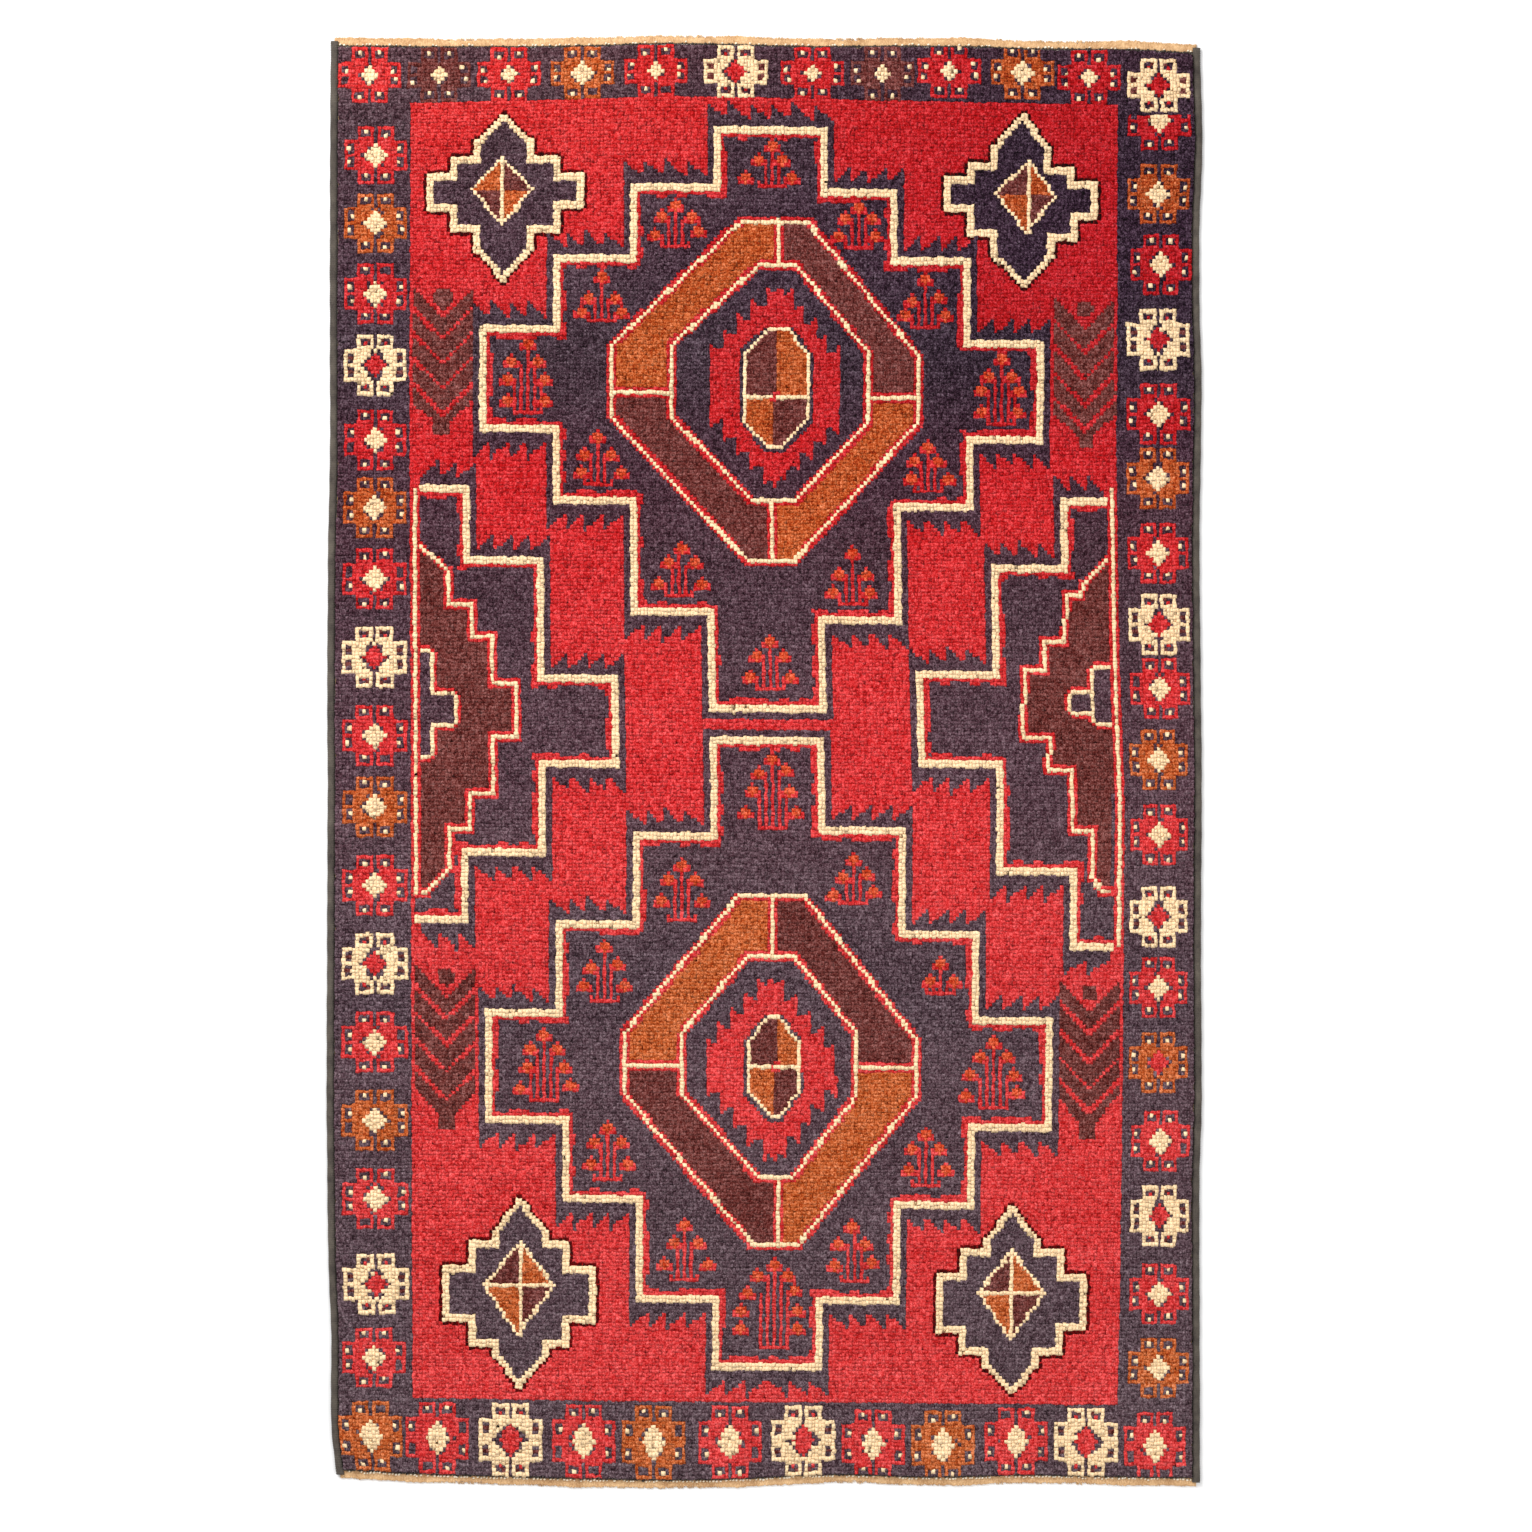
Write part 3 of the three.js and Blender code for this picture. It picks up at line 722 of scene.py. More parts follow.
    def rosette(self, i: float, j: float, yarn: Yarn, heart: Point, body: int,
                red_heart: bool = False) -> None:
        """A border rosette: a body with a stepped diamond, and eight small boxes round it.

        Args:
            i: its middle across, as it lies.
            j: its middle along, as it lies.
            yarn: its main yarn.
            heart: half the size of the diamond, in knots and rows.
            body: rows from its middle row to the body's last row.
            red_heart: whether the diamond is red on a rosette that isn't cream.
        """
        ci, cj = self.cloth.charted(i, j)
        u = np.round(self.i - math.floor(ci) - 0.5)
        v = np.round(self.j - math.floor(cj) - 0.5)
        au, av = np.abs(u), np.abs(v)
        left, right, far, near = self.FIELD
        border = (self.i < left) | (self.i > right) | (self.j < far) | (self.j > near)
        cream = yarn is Yarn.CREAM
        self.put(border & (au <= 9) & (av <= body), yarn)
        self.put(border & (au >= 1) & (au <= 5) & (av > body) & (av <= body + self.BOX_ROWS), yarn)
        low_row = 1 if body < 5 else 2
        side = (au >= 7) & (au <= 8) & (av >= low_row) & (av <= body - 1)
        ends = (au >= 2) & (au <= 4) & (av >= body + 2) & (av <= body + self.BOX_ROWS - 1)
        self.put(border & side, Yarn.NAVY)
        self.put(border & ends, Yarn.NAVY)
        rows = (low_row + body - 1) / 2
        if cream:
            self.put(border & (au >= 7) & (au <= 8) & (np.abs(av - rows) < 0.6), Yarn.BROWN)
            self.put(border & (au == 3) & (av == body + 2), Yarn.RED)
            self.put(border & (au == 2) & (av == body + 3), Yarn.BROWN)
        for across in (-1, 1):
            for along in (-1, 1):
                tied = self.rng.random(2) < (0.75 if body > 4 else 0.95)
                nudge = self.rng.random(3) < 0.5
                if not cream and tied[0]:
                    self.put(border & (u == across * (7 + nudge[0]))
                             & (v == along * (math.floor(rows) + (nudge[1] and rows % 1 > 0))), Yarn.CREAM)
                if not cream and tied[1]:
                    self.put(border & (u == across * 3) & (v == along * (body + 2 + nudge[2])), Yarn.CREAM)
        diamond = au / heart[0] + av / heart[1]
        ring = (diamond <= 1 + 1.3 / heart[0]) & (diamond > 1.02) & (au <= 6)
        chance = 0.8 if cream else 0.3
        self.put(border & ring & (self.rng.random(ring.shape) < chance), Yarn.NAVY)
        self.put(border & (diamond <= 1.02), Yarn.RED if cream or red_heart else Yarn.CREAM)

    def border(self) -> None:
        """Ties the rosettes of the four border runs, then the far right corner's over them."""
        for (i, j), yarn in zip(FAR_ROSETTES, cycle(FAR_YARNS)):
            self.rosette(i, j, yarn, WIDE_HEART if yarn in (Yarn.CREAM, Yarn.GOLD) else SLIM_HEART, 3)
        for j, yarn in zip(LEFT_ROWS, cycle(SIDE_YARNS)):
            self.rosette(LEFT_COLUMN, j, yarn, LEFT_HEART, 4)
        for j, yarn in zip(RIGHT_ROWS, cycle(SIDE_YARNS)):
            self.rosette(RIGHT_COLUMN, j, yarn, RIGHT_HEART, 4, red_heart=j == RED_HEARTED_ROW)
        for (i, j), yarn in zip(NEAR_ROSETTES, cycle(NEAR_YARNS)):
            self.rosette(i, j, yarn, NEAR_HEART, 5)
        self.put(self.box(*self.CORNER), Yarn.NAVY)
        self.rosette(*CORNER_ROSETTE, Yarn.CREAM, CORNER_HEART, 3)

    def stepped(self, line: StepLine) -> None:
        """Ties one stepped line: cream, red inside it, navy and saw teeth outside it.

        Args:
            line: the stepped line.
        """
        count = len(line.levels)
        levels, walls = [], []
        for k in range(count):
            middle = (line.walls[k - 1] + line.walls[k]) / 2
            levels.append(round(self.cloth.charted(middle, line.levels[k])[1]))
            middle = (line.levels[k] + line.levels[(k + 1) % count]) / 2
            walls.append(round(self.cloth.charted(line.walls[k], middle)[0]))
        points = [p for k in range(count) for p in ((walls[k - 1], levels[k]), (walls[k], levels[k]))]
        inside = self.inside(points)
        parts = ("guard", "outline", "inline", "ground")
        zones = {part: self.nodes.index(f"{line.name}_{part}") for part in parts}
        open_field = self.nodes.index("field_pile")
        own = np.isin(self.zone, list(zones.values()))
        self.put(own & ~inside, Yarn.RED, open_field)
        self.put((own | (self.zone == open_field)) & inside, Yarn.NAVY, zones["ground"])
        free = (self.zone == open_field) & ~inside
        cream = np.zeros(inside.shape, bool)
        inline, wide_inline = cream.copy(), cream.copy()
        bands = ((cream, 1), (inline, 2), (wide_inline, 3))
        for k in range(count):
            level, after = levels[k], levels[(k + 1) % count]
            a, b = sorted((walls[k - 1], walls[k]))
            for band, half in bands:
                band |= self.box(a - half, b + half, level - half, level + half)
            way = -1 if walls[k] > walls[k - 1] else 1
            self.put(self.teeth(line, a, b, level, way) & free, Yarn.NAVY, zones["guard"])
            if k == line.open_wall:
                continue
            c, d = sorted((level, after))
            for band, half in bands:
                beside = self.box(walls[k] - half, walls[k] + half, c - half, d + half)
                band |= beside
            self.put(beside & free, Yarn.NAVY, zones["guard"])
        left, right, far, near = self.FIELD
        field_box = self.box(left, right, far, near)
        draws = self.rng.random((self.loom.rows // 3 + 1, self.loom.knots // 3 + 1))
        patches = np.kron(draws, np.ones((3, 3)))
        patches = patches[:self.loom.rows, :self.loom.knots]
        inline |= wide_inline & (patches < 0.5)
        self.put(inline & inside & field_box, Yarn.RED, zones["inline"])
        self.put(cream & field_box, Yarn.CREAM, zones["outline"])

    def teeth(self, line: StepLine, a: int, b: int, level: int, way: int) -> np.ndarray:
        """Marks the navy band outside one level, with its saw teeth.

        Args:
            line: the stepped line.
            a: the level's left wall.
            b: its right wall.
            level: its row.
            way: -1 if the outside is on the far side, +1 if it is on the near side.

        Returns:
            The marks.
        """
        root, tip = self.FAR_TOOTH if way < 0 else self.NEAR_TOOTH
        off = (self.j - level) * way
        if a < line.middle < b:
            count, left_leaning = line.far_teeth if way < 0 else line.near_teeth
            start, end = a - 3, b + 3
            if not count:
                return self.box(start, end, level - 3.2, level + 3.2) & (off > 0)
        else:
            out = -1 if (a + b) / 2 < line.middle else 1
            start, end = a + 3 * out, b + 3 * out
            count = max(1, round((end - start) / self.TOOTH_WIDE))
            left_leaning = count if out < 0 else 0
        place = (self.i - start) / (end - start) * count
        share = place % 1
        share = np.where(place < left_leaning, share, 1 - share)
        return (place > 0) & (place < count) & (off > 0) & (off < tip - (tip - root) * share ** 0.7)

    def lozenge(self, lozenge: Lozenge) -> None:
        """Ties the spiked red lozenge in the middle of one ring."""
        hub, red = (self.nodes.index(f"{lozenge.name}_{part}") for part in ("hub_ground", "lozenge"))
        own = (self.zone == hub) | (self.zone == red)
        self.put(own, Yarn.NAVY, hub)
        self.put(own & self.inside(self.charted(lozenge.outline())), Yarn.RED, red)

    def rings(self) -> None:
        """Ties the beaded lines of the rings, and the octagons inside them."""
        band = self.motif("_ring_lines")
        self.put(band, Yarn.RED)
        for ring in RINGS:
            for line in (ring.outer, ring.inner):
                corners = self.squared(line)
                bead = self.stroke(corners, 0.56, closed=True)
                self.put(bead & band, Yarn.CREAM)
                for start, end in zip(corners, corners[1:] + corners[:1]):
                    if start[0] != end[0] and start[1] != end[1]:
                        self.loose |= self.stroke([start, end], 0.56)
            outer_far, outer_near = ring.outer[0][1], ring.outer[4][1]
            inner_far, inner_near = ring.inner[0][1], ring.inner[4][1]
            outer_left, outer_right = ring.outer[6][0], ring.outer[2][0]
            inner_left, inner_right = ring.inner[6][0], ring.inner[2][0]
            bars = (
                ((ring.far, outer_far), (ring.far, inner_far)),
                ((ring.near, outer_near), (ring.near, inner_near)),
                ((outer_left, ring.left), (inner_left, ring.left)),
                ((outer_right, ring.right), (inner_right, ring.right)),
            )
            for bar in bars:
                line = self.snapped(self.charted(bar))
                self.put(self.stroke(line, 1.1) & ~band & self.motif_in("_panel_"), Yarn.RED)
                self.put(self.stroke(line, 0.5), Yarn.CREAM)
            self.octagon(ring)

    def motif_in(self, part: str) -> np.ndarray:
        """Marks the knots whose CAD node's name holds this part."""
        wanted = [k for k, n in enumerate(self.nodes) if part in n]
        return np.isin(self.zone, wanted)

    def octagon(self, ring: Ring) -> None:
        """Ties one octagon: a dark rim, a dashed cream line, four fields and a crossbar.

        Args:
            ring: the ring that holds it.
        """
        points = self.squared(ring.octagon)
        zone = self.motif("_octagon")
        middle = sum(p[1] for p in points) / len(points)
        near_it = self.box(110, 152, middle - 25, middle + 25)
        self.put(zone & near_it, Yarn.NAVY)
        _, bar = self.cloth.charted(131, ring.crossbar)
        split = np.where(self.j < bar, ring.split_far, ring.split_near)
        inside = self.inside(points)
        first = (self.i < split) == (self.j < bar)
        self.put(inside & first, Yarn.BROWN)
        self.put(inside & ~first, Yarn.GOLD)
        line = self.stroke(points, 0.52, closed=True)
        self.put(self._grown(line, 1) & zone & ~inside, Yarn.NAVY)
        self.put(line, Yarn.CREAM)
        self.loose |= line
        left, right = min(p[0] for p in points), max(p[0] for p in points)
        across = self.snapped([(left, bar), (right, bar)])
        self.put(self.stroke(across, 0.5), Yarn.CREAM)
        heart = (np.abs(self.i - split) < 1.1) & (np.abs(self.j - across[0][1]) < 1.1)
        self.put(heart & (self.rng.random(heart.shape) < 0.6), Yarn.RED)

    def bud(self, i: float, j: float) -> None:
        """Ties one bud: an orange triangle with a red edge.

        Args:
            i: its middle across, as it lies.
            j: its middle along, as it lies.
        """
        ci, cj = self.cloth.charted(i, j)
        u = np.abs(np.round(self.i - math.floor(ci) - 0.5))
        v = np.round(self.j - math.floor(cj) - 0.5)
        self.put((u == 0) & (v == -2), Yarn.RED)
        self.put((u <= 1) & ((v == -1) | (v == 0)), Yarn.ORANGE)
        self.put((u == 2) & (v == 0), Yarn.RED)
        self.put((u <= 2) & (v == 1), Yarn.RED)
        self.put((u == 0) & (v == 1), Yarn.ORANGE)

    def sprig(self, sprig: Sprig) -> None:
        """Ties one sprig: its stems, its foot, then its buds over them.

        Args:
            sprig: the sprig.
        """
        ci, foot = self.cloth.charted(sprig.middle, sprig.foot)
        _, top = self.cloth.charted(sprig.middle, sprig.top)
        u = np.round(self.i - math.floor(ci) - 0.5)
        row = math.floor(foot) + 0.5
        self.put((u == 0) & (self.j > top) & (self.j < row), Yarn.RED)
        for number, (_, _, at) in enumerate(sprig.pairs):
            _, start = self.cloth.charted(sprig.middle, at)
            reach = 2 if number % 2 == 0 else 4
            if number < len(sprig.pairs) - 1 or len(sprig.pairs) == 1:
                stem = (np.abs(u) == reach) & (self.j > start) & (self.j < row)
                self.put(stem, Yarn.RED)
        self.put((np.abs(u) <= 4) & (np.abs(self.j - row) < 0.5), Yarn.RED)
        self.put((np.abs(u) == 4) & (np.abs(self.j - row + 1) < 0.5), Yarn.RED)
        for left, right, at in sprig.pairs:
            self.bud(left, at)
            self.bud(right, at)
        self.bud(sprig.middle, sprig.top)

    def star(self, star: Star) -> None:
        """Ties one corner star's ground and its stepped cream outline.

        Args:
            star: the star.
        """
        outline, ground = (self.nodes.index(f"{star.name}_{part}") for part in ("outline", "ground"))
        open_field = self.nodes.index("field_pile")
        self.put((self.zone == outline) | (self.zone == ground), Yarn.RED, open_field)
        points = self.squared(star.outline(), 0.0)
        free = self.zone == open_field
        self.put(self.inside(points) & free, Yarn.NAVY, ground)
        self.put(self.stroke(points, 1.0, closed=True) & free, Yarn.CREAM, outline)

    def star_diamond(self, star: StarDiamond) -> None:
        """Ties the beaded diamond of one corner star.

        Args:
            star: the diamond.
        """
        points = self.snapped(self.charted((star.far, star.right, star.near, star.left)))
        middle_i = (points[0][0] + points[2][0]) / 2
        middle_j = (points[1][1] + points[3][1]) / 2
        inside = self.inside(points)
        for number, yarn in enumerate(star.fields):
            right, near = number % 2 == 1, number > 1
            part = ((self.i > middle_i) == right) & ((self.j > middle_j) == near)
            self.put(inside & part, yarn)
        beads = self.stroke(points, 0.5, closed=True)
        self.put(beads, Yarn.CREAM)
        self.loose |= beads
        self.put(self.stroke(self.upright(points[0], points[2]), 0.5), Yarn.CREAM)
        if star.crossbar:
            bar = self.snapped([(points[3][0], middle_j), (points[1][0], middle_j)])
            self.put(self.stroke(bar, 0.5), Yarn.CREAM)

    def half_figure(self, half: HalfFigure) -> None:
        """Ties one half medallion's inside: ground, stepped figure, notch and standing line.

        Args:
            half: the figure.
        """
        left = half.side is Side.LEFT
        name = half.side.name.lower()
        edge, far = self.cloth.charted(half.line, half.line_far)
        _, near = self.cloth.charted(half.line, half.line_near)
        self.put(self.motif(f"{name}_half_figure"), Yarn.NAVY)
        points = self.charted(half.outline)
        inside = self.inside(points)
        self.put(inside, Yarn.BROWN)
        blocks = [self.charted(((a, c), (b, d))) for a, b, c, d in half.blocks]
        notch = np.zeros(self.i.shape, bool)
        for (a, c), (b, d) in blocks:
            notch |= self.box(a, b, c, d)
        rim = self._grown(notch, 1)
        self.put(self._grown(rim, 1) & inside, Yarn.RED)
        self.put(rim & inside, Yarn.CREAM)
        self.put(notch & inside, Yarn.NAVY)
        open_line = self.snapped(points)
        self.put(self.stroke(open_line, 1.35), Yarn.RED)
        self.put(self.stroke(open_line, 0.52), Yarn.CREAM)
        upright = self.upright((edge, far), (edge, near))
        self.put(self.stroke(upright, 1.1), Yarn.RED)
        self.put(self.stroke(upright, 0.5), Yarn.CREAM)
        if left:
            self.put(self.box(self.FIELD[0], self.FIELD[0] + 1, far, near + 12), Yarn.RED)
        else:
            self.put(self.box(upright[0][0] + 1, self.FIELD[1], far - 3, near + 3), Yarn.RED)

    @staticmethod
    def _grown(marks: np.ndarray, by: int) -> np.ndarray:
        """The marks, spread by whole knots to every side.

        Args:
            marks: the knots to start from.
            by: how many knots to spread.

        Returns:
            The wider marks.
        """
        out = marks.copy()
        for _ in range(by):
            wide = out.copy()
            wide[1:] |= out[:-1]
            wide[:-1] |= out[1:]
            wide[:, 1:] |= out[:, :-1]
            wide[:, :-1] |= out[:, 1:]
            out = wide
        return out

    def tree(self, number: int, tree: Tree) -> None:
        """Ties one chevron tree: its arms, its bud and its red lines.

        Args:
            number: which tree it is, 0 to 3.
            tree: the tree.
        """
        middle, _ = self.cloth.charted(tree.middle, tree.turns[0])
        turns = [self.cloth.charted(tree.middle, turn)[1] for turn in tree.turns]
        name = ("far_left", "far_right", "near_left", "near_right")[number]
        zone, open_field = self.nodes.index(f"{name}_tree"), self.nodes.index("field_pile")
        u = np.abs(self.i - middle)
        near_it = (u < 9.3) & (self.j > turns[0] - 16) & (self.j < turns[-1] + 12)
        free = near_it & ((self.zone == zone) | (self.zone == open_field))
        first = self.j - (turns[0] - self.ARM_SLOPE * u)
        last = self.j - (turns[-1] + 4.2 - self.ARM_SLOPE * u)
        self.put(free & (first <= 0.6), Yarn.RED, open_field)
        self.put(free & (first > 0.6) & (last < 0) & (u < 9), Yarn.BROWN, zone)
        bud = np.hypot(self.i - middle, (self.j - turns[0] + 5.0) * 1.05)
        self.put(near_it & (bud < tree.bud), Yarn.BROWN, zone)
        for turn in turns[1:]:
            off = self.j - (turn - self.ARM_SLOPE * u)
            self.put((self.zone == zone) & near_it & (np.abs(off) < 0.8), Yarn.RED)

    def draw(self) -> None:
        """Ties every motif that the CAD pile doesn't split out, then paints shade on the red beside the
        stars' cream lines.
        """
        self.border()
        for star in STARS:
            self.star(star)
        for line in STEP_LINES:
            self.stepped(line)
        for lozenge in LOZENGES:
            self.lozenge(lozenge)
        self.rings()
        for sprig in SPRIGS:
            self.sprig(sprig)
        for star in STAR_DIAMONDS:
            self.star_diamond(star)
        for half in HALF_FIGURES:
            self.half_figure(half)
        for number, tree in enumerate(TREES):
            self.tree(number, tree)
        self.rims()

    def rims(self) -> None:
        """Paints shade on the red knots that touch the stars' cream lines: the thin dark edge that the
        raised cream casts beside them.
        """
        stars = self.motif("_star_outline") | self.motif("_star_ground")
        rim = self._grown(stars, 1) & ~stars & (self.yarn == Yarn.RED)
        self.shade[rim] = 1.0


# ---- finishes ---------------------------------------------------------------


def linear(colour: tuple[int, int, int]) -> tuple[float, float, float, float]:
    """A screen colour from 0 to 255 as the linear colour that a shader takes."""
    parts = [c / 255 for c in colour]
    made = [c / 12.92 if c <= 0.04045 else ((c + 0.055) / 1.055) ** 2.4 for c in parts]
    return (made[0], made[1], made[2], 1.0)


class Nodes:
    """Places and links shader nodes in one tree."""

    def __init__(self, tree: bpy.types.NodeTree) -> None:
        """Takes the tree to work in."""
        self.tree = tree

    def add(self, kind: str, **values: object) -> bpy.types.Node:
        """A new node of a kind, with its settings."""
        node = self.tree.nodes.new(kind)
        for name, value in values.items():
            setattr(node, name, value)
        return node

    def link(self, start: bpy.types.NodeSocket, end: bpy.types.NodeSocket) -> None:
        """Links one socket to another."""
        self.tree.links.new(start, end)

    def feed(self, value: object, end: bpy.types.NodeSocket) -> None:
        """Links a socket, or sets a plain value."""
        if isinstance(value, bpy.types.NodeSocket):
            self.link(value, end)
        else:
            end.default_value = value

    def maths(self, operation: str, a: object, b: object = 0.0, clamp: bool = False) -> bpy.types.NodeSocket:
        """A Math node's output."""
        node = self.add("ShaderNodeMath", operation=operation, use_clamp=clamp)
        self.feed(a, node.inputs[0])
        self.feed(b, node.inputs[1])
        return node.outputs[0]

    def noise(self, vector: object, scale: float, detail: float = 2.0,
              rough: float = 0.5) -> bpy.types.NodeSocket:
        """A Noise Texture's value.

        Args:
            vector: the place, as a socket.
            scale: how fine it is.
            detail: its octaves.
            rough: how strong the finer octaves are.

        Returns:
            The value's socket.
        """
        node = self.add("ShaderNodeTexNoise")
        self.feed(vector, node.inputs["Vector"])
        node.inputs["Scale"].default_value = scale
        node.inputs["Detail"].default_value = detail
        node.inputs["Roughness"].default_value = rough
        return node.outputs["Fac"]

    def stretched(self, vector: object, scale: tuple[float, float, float]) -> bpy.types.NodeSocket:
        """A Mapping node that stretches a pattern.

        Args:
            vector: the place, as a socket.
            scale: the stretch along each axis.

        Returns:
            The stretched place's socket.
        """
        node = self.add("ShaderNodeMapping")
        self.feed(vector, node.inputs["Vector"])
        node.inputs["Scale"].default_value = scale
        return node.outputs[0]

    def ranged(self, value: object, low: float, high: float, to_low: float,
               to_high: float) -> bpy.types.NodeSocket:
        """A Map Range node's output.

        Args:
            value: what is read, as a socket.
            low: the value that gives to_low.
            high: the value that gives to_high.
            to_low: the low end of what comes out.
            to_high: the high end of what comes out.

        Returns:
            The output's socket.
        """
        node = self.add("ShaderNodeMapRange")
        self.feed(value, node.inputs["Value"])
        node.inputs["From Min"].default_value = low
        node.inputs["From Max"].default_value = high
        node.inputs["To Min"].default_value = to_low
        node.inputs["To Max"].default_value = to_high
        return node.outputs[0]

    def mixed(self, factor: object, a: object, b: object, blend: str = "MIX") -> bpy.types.NodeSocket:
        """A colour Mix node's output."""
        node = self.add("ShaderNodeMix", data_type="RGBA", blend_type=blend)
        self.feed(factor, node.inputs[0])
        self.feed(a, node.inputs[6])
        self.feed(b, node.inputs[7])
        return node.outputs[2]


def group_of(name: str, inputs: tuple[tuple[str, str, object], ...],
             outputs: tuple[tuple[str, str], ...]) -> tuple[bpy.types.NodeTree, Nodes, dict, dict]:
    """An empty shader group with its sockets.

    Args:
        name: the group's name.
        inputs: (name, socket kind, default) of each input.
        outputs: (name, socket kind) of each output.

    Returns:
        The tree, its node placer, its inputs by name and its outputs by name.
    """
    tree = bpy.data.node_groups.new(name, "ShaderNodeTree")
    for label, kind, default in inputs:
        socket = tree.interface.new_socket(name=label, in_out="INPUT", socket_type=kind)
        socket.default_value = default
    for label, kind in outputs:
        tree.interface.new_socket(name=label, in_out="OUTPUT", socket_type=kind)
    nodes = Nodes(tree)
    start, end = nodes.add("NodeGroupInput"), nodes.add("NodeGroupOutput")
    return tree, nodes, {s.name: s for s in start.outputs}, {s.name: s for s in end.inputs}


@dataclass(frozen=True)
class DyeAndShadeWash:
    """Bands of lighter and darker colour along the rug, far end first: (place, red, green, blue); partly the
    uneven dyeing of the hand-dyed wool, partly painted shade. The far right corner is darker too.
    """

    bands: tuple[tuple[float, int, int, int], ...] = (
        (0.0, -6, -9, -10), (0.06, -18, -13, -13), (0.12, -16, -15, -13), (0.17, -20, -16, -13),
        (0.225, -27, -17, -16), (0.28, -20, -22, -18), (0.34, -16, -18, -16), (0.39, -16, -14, -12),
        (0.45, -5, -6, -5), (0.52, -10, -10, -8), (0.565, 0, 0, 0), (0.665, -13, -5, -4), (0.72, -1, 1, 1),
        (0.83, -6, -1, -1), (1.0, -2, 4, 3))
    corner: tuple[int, int, int] = (-24, -20, -14)

    def group(self, loom: Loom) -> bpy.types.NodeTree:
        """The shader group that gives the shift of shade at a place, as a colour about mid grey.

        Args:
            loom: gives the rug's size.

        Returns:
            The group, with outputs Wash and Streak.
        """
        outputs = (("Wash", "NodeSocketColor"), ("Streak", "NodeSocketFloat"))
        tree, n, _, out = group_of("dye_wash", (), outputs)
        place = n.add("ShaderNodeTexCoord").outputs["Object"]
        split = n.add("ShaderNodeSeparateXYZ")
        n.link(place, split.inputs[0])
        wander = n.ranged(n.noise(n.stretched(place, (2.2, 5.0, 1.0)), 1.0), 0.3, 0.7, -0.015, 0.015)
        along = n.maths("ADD", split.outputs["Y"], wander)
        at = n.ranged(along, loom.pile_high.y, loom.pile_low.y, 0.0, 1.0)
        ramp = n.add("ShaderNodeValToRGB")
        ramp.color_ramp.interpolation = "B_SPLINE"
        stops = ramp.color_ramp.elements
        while len(stops) < len(self.bands):
            stops.new(0.5)
        for stop, (place_at, *shift) in zip(stops, self.bands):
            stop.position = place_at
            stop.color = (*(0.5 + part / 255 for part in shift), 1.0)
        n.link(at, ramp.inputs[0])
        right = n.ranged(split.outputs["X"], loom.pile_low.x * 0.4, loom.pile_high.x * 0.6, 0.0, 1.0)
        far = n.ranged(split.outputs["Y"], loom.pile_high.y * 0.3, loom.pile_high.y * 0.8, 0.0, 1.0)
        dark = tuple(0.5 + part / 255 for part in self.corner)
        corner = n.mixed(n.maths("MULTIPLY", right, far), (0.5, 0.5, 0.5, 1.0), (*dark, 1.0))
        both = n.mixed(1.0, ramp.outputs[0], corner, "ADD")
        n.link(n.mixed(1.0, both, (0.5, 0.5, 0.5, 1.0), "SUBTRACT"), out["Wash"])
        rows = n.noise(n.stretched(place, (5.0, 250.0, 1.0)), 1.0, 3.0, 0.6)
        pools = n.noise(n.stretched(place, (7.0, 16.0, 1.0)), 1.0, 3.0, 0.55)
        n.link(n.maths("ADD", n.ranged(rows, 0.3, 0.7, -0.02, 0.02), n.ranged(pools, 0.3, 0.7, -0.02, 0.02)),
               out["Streak"])
        return tree


def wool_fibre_group() -> bpy.types.NodeTree:
    """The shader group of spun wool: painted glints and shadows of its fibres with each knot's tone, painted
    shade towards its roots, roughness and height.
    """
    tree, n, given, out = group_of(
        "wool_fibre",
        (("Knot Tone", "NodeSocketFloat", 0.5), ("Tip", "NodeSocketFloat", 1.0),
         ("Grain", "NodeSocketFloat", 0.1), ("Root Shade", "NodeSocketFloat", 0.5)),
        (("Glint", "NodeSocketFloat"), ("Depth", "NodeSocketFloat"), ("Roughness", "NodeSocketFloat"),
         ("Height", "NodeSocketFloat")),
    )
    place = n.add("ShaderNodeTexCoord").outputs["Object"]
    fine = n.noise(n.stretched(place, (720.0, 600.0, 340.0)), 1.0, 2.0, 0.75)
    curl = n.noise(n.stretched(place, (330.0, 300.0, 200.0)), 1.0, 1.0, 0.6)
    spread = n.maths("ADD", n.ranged(fine, 0.25, 0.75, -1.0, 1.0), n.ranged(curl, 0.3, 0.7, -0.15, 0.15))
    knot = n.maths("MULTIPLY", n.maths("SUBTRACT", given["Knot Tone"], 0.5), 0.5)
    # Glint: painted fibre highlights and shadows, with each knot's random tone and its painted rim shade,
    # scaled for each wool.
    n.link(n.maths("MULTIPLY", n.maths("ADD", spread, knot), given["Grain"]), out["Glint"])
    # Painted shade towards the roots and in the valleys between tufts, partly the roots' own deeper colour.
    root = n.maths("MULTIPLY", given["Root Shade"], n.maths("SUBTRACT", 1.0, given["Tip"]))
    n.link(n.maths("SUBTRACT", 1.0, root), out["Depth"])
    n.link(n.ranged(fine, 0.2, 0.8, 0.78, 0.98), out["Roughness"])
    n.link(n.maths("ADD", fine, n.maths("MULTIPLY", curl, 1.2)), out["Height"])
    return tree


